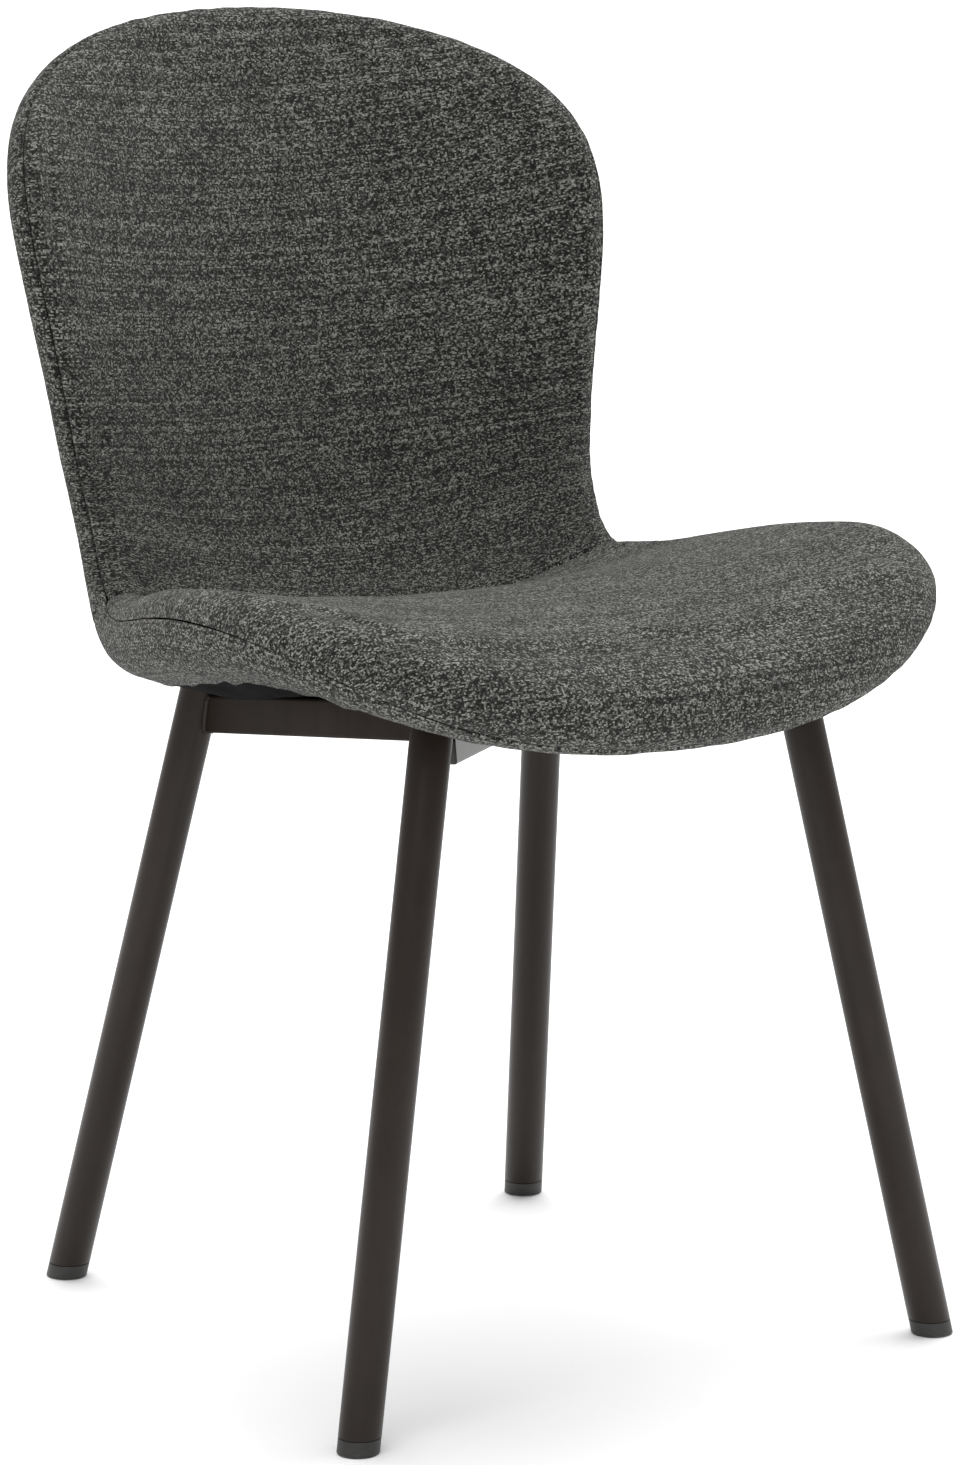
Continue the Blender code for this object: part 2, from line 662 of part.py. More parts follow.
def main():
    """Build every part of the chair."""
    spaces = {(place, side): leg_cutter(place, side) for place in LEG_AXES for side, _ in SIDES}
    for place in LEG_AXES:
        for side, word in SIDES:
            build_leg(place, side, f"leg_{place}_{word}")
            build_glide(place, side, f"glide_{place}_{word}")
            build_leg_cap(place, side, f"leg_cap_{place}_{word}")
    for side, word in SIDES:
        build_side_rail(side, f"side_rail_{word}", spaces)
    build_brace(spaces, [rail_cutter(side, "rail_space_" + word) for side, word in SIDES])
    holes = [build_fastening(side, y, spacer, insert, f"{place}_{word}")
             for place, y, spacer, insert in FASTENINGS for side, word in SIDES]
    build_shell_layers(holes)


main()
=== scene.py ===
"""The finished look of an upholstered dining chair on a welded four-leg steel frame.

A bent shell is padded and covered in heathered upholstery cloth.  The cloth is cut in four
panels: the seat, the back, the outer back and a band under the seat.  They are sewn
together round the edge of the shell and across the fold between seat and back.  A black
lining cloth closes the underside.  The frame is round and rectangular tube, powder coated.

Units are metres, +Z is up and the sitter faces -Y.
"""
import logging
import math
from dataclasses import dataclass, field
from enum import Enum

import bpy
import numpy as np
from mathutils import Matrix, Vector


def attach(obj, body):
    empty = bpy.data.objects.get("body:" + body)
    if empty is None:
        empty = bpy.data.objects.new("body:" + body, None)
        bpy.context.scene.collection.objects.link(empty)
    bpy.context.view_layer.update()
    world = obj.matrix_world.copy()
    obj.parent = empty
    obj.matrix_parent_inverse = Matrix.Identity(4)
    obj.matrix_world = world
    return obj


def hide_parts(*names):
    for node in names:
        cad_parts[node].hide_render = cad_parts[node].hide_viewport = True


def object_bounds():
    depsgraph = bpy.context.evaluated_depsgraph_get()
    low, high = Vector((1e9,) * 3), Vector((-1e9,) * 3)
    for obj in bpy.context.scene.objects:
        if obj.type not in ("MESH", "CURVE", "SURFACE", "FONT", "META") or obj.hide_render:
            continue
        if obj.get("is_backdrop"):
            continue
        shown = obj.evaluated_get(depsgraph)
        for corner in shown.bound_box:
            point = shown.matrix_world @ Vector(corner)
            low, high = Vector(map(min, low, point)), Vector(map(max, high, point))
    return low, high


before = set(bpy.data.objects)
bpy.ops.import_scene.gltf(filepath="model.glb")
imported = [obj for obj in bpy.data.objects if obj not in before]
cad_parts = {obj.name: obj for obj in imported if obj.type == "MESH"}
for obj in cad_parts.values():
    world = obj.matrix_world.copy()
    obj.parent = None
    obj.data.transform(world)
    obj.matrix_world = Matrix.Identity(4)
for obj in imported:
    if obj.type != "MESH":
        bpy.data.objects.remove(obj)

Colour = tuple[float, float, float, float]
Array = np.ndarray
Piece = bpy.types.Object
Socket = bpy.types.NodeSocket
LOG = logging.getLogger("dining_chair")
CAD_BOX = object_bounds()
WEAVE = "weave"               # the UV map that cloth patterns follow
MIDDLE_Y = 0.0203             # from the middle of the outline to the middle of the four feet


class Side(Enum):
    """The sitter's two sides of the chair; the value is the sign of x."""

    RIGHT = -1
    LEFT = 1

    @property
    def word(self) -> str:
        """The side's name in lower case."""
        return self.name.lower()


class Row(Enum):
    """The front and the rear pair of legs."""

    FRONT = "front"
    REAR = "rear"


class Panel(Enum):
    """The four cloth panels that cover the shell.

    Each has the piece's name, whether it lies above the fold, whether it lies on the rear
    face, the border that wraps round the shell's edge, the size and seed of its
    unevenness, and the fixed nodes it stands for.
    """

    SEAT = ("seat_cover_sewn", False, False, 0.16, 0.0007, 0.055, 5,
            ("seat_cover", "seat_foam"))
    BACK = ("back_cover_sewn", True, False, 0.085, 0.0007, 0.055, 8,
            ("back_cover", "back_foam"))
    OUTER_BACK = ("outer_back_cover_sewn", True, True, 0.10, 0.0006, 0.06, 13,
                  ("rear_cover", "back_wadding"))
    UNDER_BAND = ("under_band_cloth", False, True, 0.16, 0.0006, 0.06, 17,
                  ("seat_side_band", "seat_wadding"))

    def __init__(self, title: str, upper: bool, behind: bool, wrap: float, uneven: float,
                 swell: float, seed: int, nodes: tuple[str, ...]) -> None:
        """Give each value of a panel its name."""
        self.title, self.upper, self.behind, self.wrap = title, upper, behind, wrap
        self.uneven, self.swell, self.seed, self.nodes = uneven, swell, seed, nodes


# ---------------------------------------------------------------- finishes
class Bench:
    """Builds one node material, so that a finish reads as a short recipe."""

    def __init__(self, name: str) -> None:
        """Start an empty material with a Principled shader.

        Args:
            name: the material's name.
        """
        self.material = bpy.data.materials.new(name)
        self.material.use_nodes = True
        self.nodes = self.material.node_tree.nodes
        self.links = self.material.node_tree.links
        self.shader = self.nodes["Principled BSDF"]

    def add(self, kind: str, links: dict | None = None, **settings: object) -> bpy.types.Node:
        """Add a node.

        Args:
            kind: the node's type name without its "ShaderNode" prefix.
            links: input name or index to the socket or value that feeds it.
            settings: the node's own properties.

        Returns:
            The new node.
        """
        node = self.nodes.new("ShaderNode" + kind)
        for key, value in settings.items():
            setattr(node, key, value)
        for key, value in (links or {}).items():
            self.feed(node.inputs[key], value)
        return node

    def feed(self, socket: Socket, value: object) -> None:
        """Link a socket to another one, or set its value.

        Args:
            socket: the input to feed.
            value: another socket, a node or a plain value.
        """
        if isinstance(value, Socket):
            self.links.new(value, socket)
        elif isinstance(value, bpy.types.Node):
            self.links.new(value.outputs[0], socket)
        else:
            socket.default_value = value

    def calc(self, operation: str, *values: object) -> Socket:
        """A Math node's result."""
        return self.add("Math", dict(enumerate(values)), operation=operation).outputs[0]

    def ramp(self, value: object, low: float, high: float, to_low: float = 0.0,
             to_high: float = 1.0) -> Socket:
        """Carry a range of values to another, held at both ends."""
        node = self.add("MapRange", {0: value, 1: low, 2: high, 3: to_low, 4: to_high})
        return node.outputs[0]

    def blend(self, share: object, first: object, second: object,
              way: str = "MIX") -> Socket:
        """Mix two colours."""
        node = self.add("Mix", {0: share, 6: first, 7: second}, data_type="RGBA",
                        blend_type=way)
        return node.outputs[2]

    def shade(self, colour: object, factor: object) -> Socket:
        """Darken or lighten a colour by a plain factor."""
        return self.blend(1.0, colour, self.grey(factor), "MULTIPLY")

    def grey(self, value: object) -> bpy.types.Node:
        """A grey of the given value."""
        return self.add("CombineColor", {0: value, 1: value, 2: value})

    def place(self) -> Socket:
        """Object coordinates, in metres."""
        return self.add("TexCoord").outputs["Object"]

    def weave(self) -> bpy.types.Node:
        """Places on the "weave" UV map, in millimetres."""
        return self.scaled(self.add("UVMap", uv_map=WEAVE), (1000.0, 1000.0, 1000.0))

    def scaled(self, vector: object, scale: tuple[float, float, float]) -> bpy.types.Node:
        """A pattern's coordinates, scaled on each axis."""
        return self.add("Mapping", {"Vector": vector, "Scale": scale})

    def noise(self, vector: object, detail: float = 2.0, rough: float = 0.5,
              scale: float = 1.0) -> Socket:
        """A Noise Texture's value."""
        node = self.add("TexNoise", {"Vector": vector, "Scale": scale, "Detail": detail,
                                     "Roughness": rough})
        return node.outputs["Fac"]

    def raise_surface(self, height: object, strength: float, distance: float) -> None:
        """Use a height as the shader's bump."""
        bump = self.add("Bump", {"Height": height, "Strength": strength,
                                 "Distance": distance})
        self.feed(self.shader.inputs["Normal"], bump)

    def surface(self, colour: object, roughness: object) -> None:
        """Feed the shader's colour and roughness."""
        self.feed(self.shader.inputs["Base Color"], colour)
        self.feed(self.shader.inputs["Roughness"], roughness)

    def constants(self, **values: object) -> None:
        """Set the shader's own sockets; underscores stand for spaces."""
        for key, value in values.items():
            self.shader.inputs[key.replace("_", " ")].default_value = value


@dataclass(frozen=True)
class HeatherCloth:
    """Heathered charcoal upholstery cloth: mixed dark and pale yarn in a fine plain weave."""

    dark: Colour = (0.0060, 0.0062, 0.0056, 1.0)
    pale: Colour = (0.305, 0.307, 0.278, 1.0)
    weft_pitch: float = 0.95      # mm between the yarns that run across the chair
    warp_pitch: float = 1.20      # mm between the yarns that run along it
    slub_length: float = 2.8      # mm, length of the paler and darker runs in a weft yarn

    def make(self) -> bpy.types.Material:
        """Build the material on the "weave" UV map, which is in metres."""
        bench = Bench("heather_cloth")
        mm = bench.weave()
        wobble = bench.noise(bench.scaled(mm, (0.02, 0.02, 1.0)), 2.0)
        shift = bench.add("CombineXYZ", {0: bench.calc("MULTIPLY", wobble, 2.2),
                                         1: bench.calc("MULTIPLY", wobble, 3.0)})
        drift = bench.add("VectorMath", {0: mm, 1: shift}, operation="ADD")
        parts = bench.add("SeparateXYZ", {0: drift})
        weft = bench.calc("DIVIDE", parts.outputs[1], self.weft_pitch)
        warp = bench.calc("DIVIDE", parts.outputs[0], self.warp_pitch)
        weft_row, warp_row = bench.calc("FLOOR", weft), bench.calc("FLOOR", warp)
        # Each weft yarn has its own run of pale and dark fibre.
        yarn = bench.add("TexWhiteNoise", {"W": weft_row}, noise_dimensions="1D")
        run = bench.add("CombineXYZ", {
            0: bench.calc("MULTIPLY_ADD", yarn.outputs[0], 90.0,
                          bench.calc("DIVIDE", parts.outputs[0], self.slub_length)),
            1: bench.calc("MULTIPLY", weft_row, 3.7)})
        slub = bench.ramp(bench.noise(run, 3.0, 0.65), 0.33, 0.67)
        # Each crossing shows one yarn over the other, each a little different.
        cell = bench.add("CombineXYZ", {0: warp_row, 1: weft_row})
        crossing = bench.add("TexWhiteNoise", {"Vector": cell}, noise_dimensions="2D")
        fuzz = bench.ramp(bench.noise(bench.scaled(drift, (0.75, 1.3, 1.0)), 4.0, 0.72),
                          0.32, 0.68)
        cloud = bench.ramp(bench.noise(bench.scaled(mm, (0.016, 0.022, 1.0)), 3.0, 0.6),
                           0.3, 0.7, -0.03, 0.03)
        tone = cloud
        for part, weight in ((crossing, 0.50), (slub, 0.42), (fuzz, 0.08), (yarn, 0.16)):
            tone = bench.calc("MULTIPLY_ADD", part, weight, tone)
        mixed = bench.calc("POWER", bench.ramp(tone, 0.38, 0.88), 2.2)
        colour = bench.blend(mixed, self.dark, self.pale)
        # Yarn crowns: round ribs both ways, broken up by the fibre; they make the bump and
        # also paint shade into the colour.
        weft_crown = bench.calc("SINE", bench.calc("MULTIPLY", weft, math.pi))
        warp_crown = bench.calc("SINE", bench.calc("MULTIPLY", warp, math.pi))
        crown = bench.calc("ADD", bench.calc("ABSOLUTE", weft_crown),
                           bench.calc("MULTIPLY", bench.calc("ABSOLUTE", warp_crown), 0.7))
        height = bench.calc("ADD", crown, bench.calc("MULTIPLY", fuzz, 1.6))
        height = bench.calc("ADD", height, bench.calc("MULTIPLY", slub, 0.8))
        # Painted shade: the colour darkens in the gaps between the yarns and lightens a little
        # on their crowns, a faint painted highlight.
        bench.surface(bench.shade(colour, bench.ramp(crown, 0.15, 1.25, 0.40, 1.15)),
                      bench.ramp(mixed, 0.0, 1.0, 0.97, 0.84))
        bench.constants(Sheen_Weight=0.10, Sheen_Roughness=0.45,
                        Sheen_Tint=(0.80, 0.82, 0.78, 1.0), Specular_IOR_Level=0.25)
        bench.raise_surface(height, 0.85, 0.00035)
        return bench.material


@dataclass(frozen=True)
class PowderCoat:
    """Satin brown-black powder coat: a fine even texture, worn a little where it is rubbed."""

    colour: Colour = (0.0180, 0.0125, 0.0095, 1.0)
    rubbed: Colour = (0.036, 0.027, 0.022, 1.0)
    roughness: float = 0.38
    gloss: float = 0.22
    name: str = "powder_coat"

    def make(self) -> bpy.types.Material:
        """Build the material on Object coordinates."""
        bench = Bench(self.name)
        place = bench.place()
        grain = bench.noise(place, 3.0, 0.6, 1400.0)
        peel = bench.noise(place, 2.0, 0.5, 260.0)
        patch = bench.noise(place, 4.0, 0.65, 14.0)
        streak = bench.noise(bench.scaled(place, (160.0, 160.0, 9.0)), 3.0, 0.6)
        rub = bench.ramp(bench.calc("ADD", patch, bench.calc("MULTIPLY", streak, 0.35)),
                         0.62, 0.98)
        colour = bench.blend(bench.calc("MULTIPLY", rub, 0.35), self.colour, self.rubbed)
        speck = bench.ramp(grain, 0.30, 0.75, 0.86, 1.10)
        rough = bench.calc("MULTIPLY_ADD", patch, 0.14, self.roughness - 0.07)
        bench.surface(bench.shade(colour, speck),
                      bench.calc("MULTIPLY_ADD", rub, -0.06, rough))
        bench.constants(Specular_IOR_Level=self.gloss)
        height = bench.calc("ADD", grain, bench.calc("MULTIPLY", peel, 0.8))
        bench.raise_surface(height, 0.22, 0.00012)
        return bench.material


@dataclass(frozen=True)
class MouldedPlastic:
    """Black moulded plastic with a faint spark-eroded texture and scuffs low down."""

    colour: Colour = (0.020, 0.019, 0.018, 1.0)
    scuffed: Colour = (0.085, 0.080, 0.074, 1.0)

    def make(self) -> bpy.types.Material:
        """Build the material on Object coordinates."""
        bench = Bench("moulded_plastic")
        place = bench.place()
        low = bench.ramp(bench.add("SeparateXYZ", {0: place}).outputs[2], 0.0, 0.006, 1.0, 0.0)
        marks = bench.noise(bench.scaled(place, (300.0, 300.0, 900.0)), 4.0, 0.7)
        scuff = bench.calc("MULTIPLY", low, bench.ramp(marks, 0.5, 0.75))
        cloudy = bench.ramp(bench.noise(place, 3.0, 0.6, 60.0), 0.3, 0.7, 0.85, 1.15)
        colour = bench.blend(scuff, self.colour, self.scuffed)
        bench.surface(bench.shade(colour, cloudy),
                      bench.calc("MULTIPLY_ADD", scuff, 0.25, 0.50))
        bench.raise_surface(bench.noise(place, 2.0, 0.5, 1800.0), 0.25, 0.0001)
        return bench.material


@dataclass(frozen=True)
class LiningCloth:
    """Black spun-bonded lining cloth: flat fibres pressed in a small square emboss."""

    colour: Colour = (0.003, 0.003, 0.0033, 1.0)
    fibre: Colour = (0.012, 0.012, 0.013, 1.0)
    emboss: float = 1.3           # mm between the pressed points

    def make(self) -> bpy.types.Material:
        """Build the material on the "weave" UV map, which is in metres."""
        bench = Bench("lining_cloth")
        mm = bench.weave()
        strands = bench.noise(bench.scaled(mm, (3.0, 0.35, 1.0)), 4.0, 0.7)
        crossed = bench.noise(bench.scaled(mm, (0.35, 3.0, 1.0)), 4.0, 0.7)
        fibres = bench.calc("MAXIMUM", strands, crossed)
        dots = bench.add("TexVoronoi", {"Vector": mm, "Scale": 1.0 / self.emboss,
                                        "Randomness": 0.15}, feature="F1")
        pressed = bench.ramp(dots.outputs["Distance"], 0.22, 0.34)
        cloud = bench.noise(mm, 3.0, 0.6, 0.03)
        share = bench.ramp(bench.calc("MULTIPLY", fibres, cloud), 0.18, 0.42)
        bench.surface(bench.blend(share, self.colour, self.fibre),
                      bench.ramp(pressed, 0.0, 1.0, 0.8, 0.95))
        bench.constants(Specular_IOR_Level=0.02)
        height = bench.calc("ADD", pressed, fibres)
        bench.raise_surface(height, 0.5, 0.0002)
        return bench.material


@dataclass(frozen=True)
class BeechPly:
    """The plywood inside: pale wood with a long grain."""

    dark: Colour = (0.38, 0.24, 0.12, 1.0)
    pale: Colour = (0.62, 0.45, 0.27, 1.0)
    stretch: tuple[float, float, float] = (260.0, 22.0, 260.0)
    roughness: float = 0.62

    def make(self) -> bpy.types.Material:
        """Build the material on Object coordinates."""
        bench = Bench("beech_plywood")
        place = bench.place()
        grain = bench.noise(bench.scaled(place, self.stretch), 5.0, 0.65)
        bench.surface(bench.blend(bench.ramp(grain, 0.3, 0.7), self.dark, self.pale),
                      bench.calc("MULTIPLY_ADD", grain, 0.1, self.roughness - 0.05))
        bench.raise_surface(grain, 0.4, 0.0004)
        return bench.material


@dataclass(frozen=True)
class ZincPlate:
    """Bright zinc-plated steel, faintly clouded."""

    colour: Colour = (0.56, 0.57, 0.58, 1.0)
    dulled: Colour = (0.36, 0.37, 0.39, 1.0)

    def make(self) -> bpy.types.Material:
        """Build the material on Object coordinates."""
        bench = Bench("zinc_plate")
        cloud = bench.noise(bench.place(), 4.0, 0.65, 220.0)
        bench.surface(bench.blend(bench.ramp(cloud, 0.35, 0.7), self.colour, self.dulled),
                      bench.ramp(cloud, 0.3, 0.7, 0.24, 0.42))
        bench.constants(Metallic=1.0)
        return bench.material


class Finishes:
    """All the chair's materials, made once."""

    def __init__(self) -> None:
        """Make every material."""
        self.cloth = HeatherCloth().make()
        self.coat = PowderCoat().make()
        self.dry_coat = PowderCoat(roughness=0.60, gloss=0.06, name="powder_coat_dry").make()
        self.plastic = MouldedPlastic().make()
        self.lining = LiningCloth().make()
        self.zinc = ZincPlate().make()
        self.plywood = BeechPly().make()

    def dress_hidden(self) -> None:
        """Give the fixed nodes that stay in the model a finish of their own."""
        by_start = (("shell_core", self.plywood), ("leg_cap", self.plastic),
                    ("mount_tab", self.coat), ("spacer", self.plastic),
                    ("screw", self.zinc), ("insert", self.zinc))
        for name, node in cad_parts.items():
            for start, material in by_start:
                if name.startswith(start):
                    for slot in node.material_slots:
                        slot.material = material


# ---------------------------------------------------------------- modelling helpers
def clear_selection() -> None:
    """Leave object mode with nothing selected."""
    if bpy.context.object and bpy.context.object.mode != "OBJECT":
        bpy.ops.object.mode_set(mode="OBJECT")
    bpy.ops.object.select_all(action="DESELECT")


def pick(piece: Piece) -> None:
    """Make a piece the only selected and the active one."""
    clear_selection()
    piece.select_set(True)
    bpy.context.view_layer.objects.active = piece


def settle(name: str, material: bpy.types.Material, smooth: float = 40.0) -> Piece:
    """Name the active piece, bring its object to the origin and shade it.

    Args:
        name: the piece's name.
        material: its finish.
        smooth: edges sharper than this many degrees stay sharp.

    Returns:
        The piece.
    """
    piece = bpy.context.object
    piece.name = piece.data.name = name
    pick(piece)
    bpy.ops.object.transform_apply(location=True, rotation=True, scale=True)
    bpy.ops.object.shade_smooth_by_angle(angle=math.radians(smooth))
    piece.data.materials.clear()
    piece.data.materials.append(material)
    return piece


def edit(action: str, kind: str | None = None) -> None:
    """Enter edit mode on the active piece with all of it or nothing selected.

    Args:
        action: "SELECT" or "DESELECT".
        kind: kind of element to select, or None to leave it.
    """
    bpy.ops.object.mode_set(mode="EDIT")
    if kind:
        bpy.ops.mesh.select_mode(type=kind)
    bpy.ops.mesh.select_all(action=action)


def apply_modifiers(piece: Piece) -> None:
    """Apply every modifier of a piece in order."""
    pick(piece)
    for modifier in list(piece.modifiers):
        bpy.ops.object.modifier_apply(modifier=modifier.name)


def stand_for(piece: Piece, slot: str, *nodes: str) -> None:
    """Ride on the root and stand for some fixed nodes.

    Args:
        piece: the finished piece.
        slot: not used.
        nodes: the fixed nodes it stands for.
    """
    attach(piece, "root")
    if nodes:
        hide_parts(*nodes)
    LOG.info("%s: %d faces", piece.name, len(piece.data.polygons))


# ---------------------------------------------------------------- the shell's form
@dataclass(frozen=True)
class ShellForm:
    """The bent form of the padded shell.

    A station gives, at one place along the middle line: along, y, z, width, forward, rise
    and half the padded thickness.  "along" runs from -1 at the front lip to +1 at the top.
    """

    stations: tuple[tuple[float, ...], ...] = (
        (-1.00, -0.239, 0.436, 0.287, -0.004, 0.009, 0.0260),
        (-0.80, -0.194, 0.450, 0.310, -0.007, 0.045, 0.0240),
        (-0.55, -0.100, 0.457, 0.283, -0.004, 0.037, 0.0220),
        (-0.28, 0.021, 0.439, 0.228, -0.004, 0.024, 0.0240),
        (-0.06, 0.121, 0.422, 0.185, -0.001, 0.035, 0.0188),
        (0.10, 0.168, 0.462, 0.183, -0.020, 0.034, 0.0148),
        (0.28, 0.199, 0.520, 0.1955, -0.042, 0.022, 0.0132),
        (0.50, 0.228, 0.613, 0.2335, -0.077, 0.024, 0.0131),
        (0.72, 0.256, 0.708, 0.298, -0.126, 0.050, 0.0130),
        (0.88, 0.280, 0.772, 0.3275, -0.156, 0.050, 0.0132),
        (1.00, 0.2935, 0.8105, 0.3175, -0.145, 0.0525, 0.0125))
    fold: float = -0.06           # where the seat and back panels meet
    seam_back: float = math.radians(70)
    seam_front: float = math.radians(118)

    def bends(self) -> tuple[Array, Array, Array]:
        """Fit a cubic curve through the stations.

        Returns:
            The knots, the values and the second derivatives.
        """
        knots = np.array([row[0] for row in self.stations])
        values = np.array([row[1:] for row in self.stations])
        count, step = len(knots), np.diff(knots)
        system, right = np.zeros((count, count)), np.zeros_like(values)
        for i in range(1, count - 1):
            system[i, i - 1:i + 2] = step[i - 1], 2 * (step[i - 1] + step[i]), step[i]
            right[i] = 6 * ((values[i + 1] - values[i]) / step[i]
                            - (values[i] - values[i - 1]) / step[i - 1])
        system[0, :3] = step[1], -step[0] - step[1], step[0]
        system[-1, -3:] = step[-1], -step[-2] - step[-1], step[-2]
        return knots, values, np.linalg.solve(system, right)

    def at(self, along: Array) -> Array:
        """Station values at each place.

        Args:
            along: places along the middle line, in any shape.

        Returns:
            The same shape with one more axis: y, z, width, forward, rise, half thickness.
        """
        knots, values, bends = self.bends()
        i = np.clip(np.searchsorted(knots, along) - 1, 0, len(knots) - 2)
        step = knots[i + 1] - knots[i]
        right = ((along - knots[i]) / step)[..., None]
        left = 1 - right
        curve = (left ** 3 - left) * bends[i] + (right ** 3 - right) * bends[i + 1]
        return left * values[i] + right * values[i + 1] + curve * (step * step / 6)[..., None]

    def middle(self, across: Array, along: Array) -> Array:
        """Points of the shell's mid-surface.

        Args:
            across, along: places in the unit disc.

        Returns:
            The points.
        """
        y, z, width, forward, rise, _ = np.moveaxis(self.at(along), -1, 0)
        return np.stack((width * across, y + forward * across ** 2 - MIDDLE_Y,
                         z + rise * across ** 2), axis=-1)

    def axes(self, across: Array, along: Array) -> tuple[Array, ...]:
        """Unit vectors at each place.

        Args:
            across: place across the chair.
            along: place along the middle line.

        Returns:
            The sitter's-side normal, the direction out over the edge, and the two
            directions of the weave, across and along.
        """
        tiny = 1e-4
        side = self.middle(across + tiny, along) - self.middle(across - tiny, along)
        ahead = self.middle(across, along + tiny) - self.middle(across, along - tiny)
        normal = unit(np.cross(side, ahead))
        tangent = unit(ahead * across[..., None] - side * along[..., None])
        outward = np.cross(tangent, normal)
        towards = side * across[..., None] + ahead * along[..., None]
        outward *= np.where(np.sum(outward * towards, axis=-1) < 0, -1.0, 1.0)[..., None]
        weft = unit(side)
        return normal, outward, weft, unit(np.cross(normal, weft))

    def seam_turn(self, along: Array) -> Array:
        """Angle round the edge to the seam, growing under the front lip.

        Args:
            along: place along the middle line.

        Returns:
            The angle from the sitter's side, in radians.
        """
        share = np.clip((-along - 0.35) / 0.55, 0.0, 1.0)
        share = share * share * (3 - 2 * share)
        return self.seam_back + (self.seam_front - self.seam_back) * share

    def run(self, along: Array) -> Array:
        """Length of the middle line from the fold to each place, in metres.

        Args:
            along: places along the middle line.

        Returns:
            The lengths, negative on the seat's side.
        """
        steps = np.linspace(-1.0, 1.0, 801)
        line = self.middle(np.zeros_like(steps), steps)
        length = np.concatenate(([0.0], np.cumsum(np.linalg.norm(np.diff(line, axis=0),
                                                                axis=1))))
        return np.interp(along, steps, length) - np.interp(self.fold, steps, length)


def unit(vectors: Array) -> Array:
    """Vectors scaled to length one."""
    return vectors / np.maximum(np.linalg.norm(vectors, axis=-1, keepdims=True), 1e-12)


def ripple(u: Array, v: Array, seed: int, size: float) -> Array:
    """A smooth uneven field between about -1 and 1, the same on every run.

    Args:
        u, v: places in metres.
        seed: picks the field.
        size: typical width of one swell, in metres.

    Returns:
        The field's value at each place.
    """
    picks = np.random.default_rng(seed)
    total = np.zeros_like(u)
    for _ in range(9):
        angle, phase = picks.uniform(0, 2 * math.pi, 2)
        pace = 2 * math.pi / (size * picks.uniform(1.2, 2.6))
        total += np.sin(pace * (u * math.cos(angle) + v * math.sin(angle)) + phase)
    return total / 4.2


def lay_cloth(piece: Piece, points: Array, flat: Array,
              thickness: float) -> float:
    """Put a grid's points in place, write their places on the weave and thicken it.

    Args:
        piece: the flat grid.
        points: its points' places.
        flat: their places on the weave, in metres.
        thickness: the cloth's thickness.

    Returns:
        The area of one side, in square metres.
    """
    mesh = piece.data
    mesh.vertices.foreach_set("co", points.reshape(-1).astype(np.float32))
    while mesh.uv_layers:
        mesh.uv_layers.remove(mesh.uv_layers[0])
    weave = mesh.uv_layers.new(name=WEAVE)
    corners = np.empty(len(mesh.loops), dtype=np.int32)
    mesh.loops.foreach_get("vertex_index", corners)
    weave.data.foreach_set("uv", flat.reshape(-1, 2)[corners].reshape(-1).astype(np.float32))
    mesh.update()
    area = sum(polygon.area for polygon in mesh.polygons)
    pick(piece)
    wall = piece.modifiers.new("wall", "SOLIDIFY")
    wall.thickness = thickness
    wall.offset = -1.0
    apply_modifiers(piece)
    return area


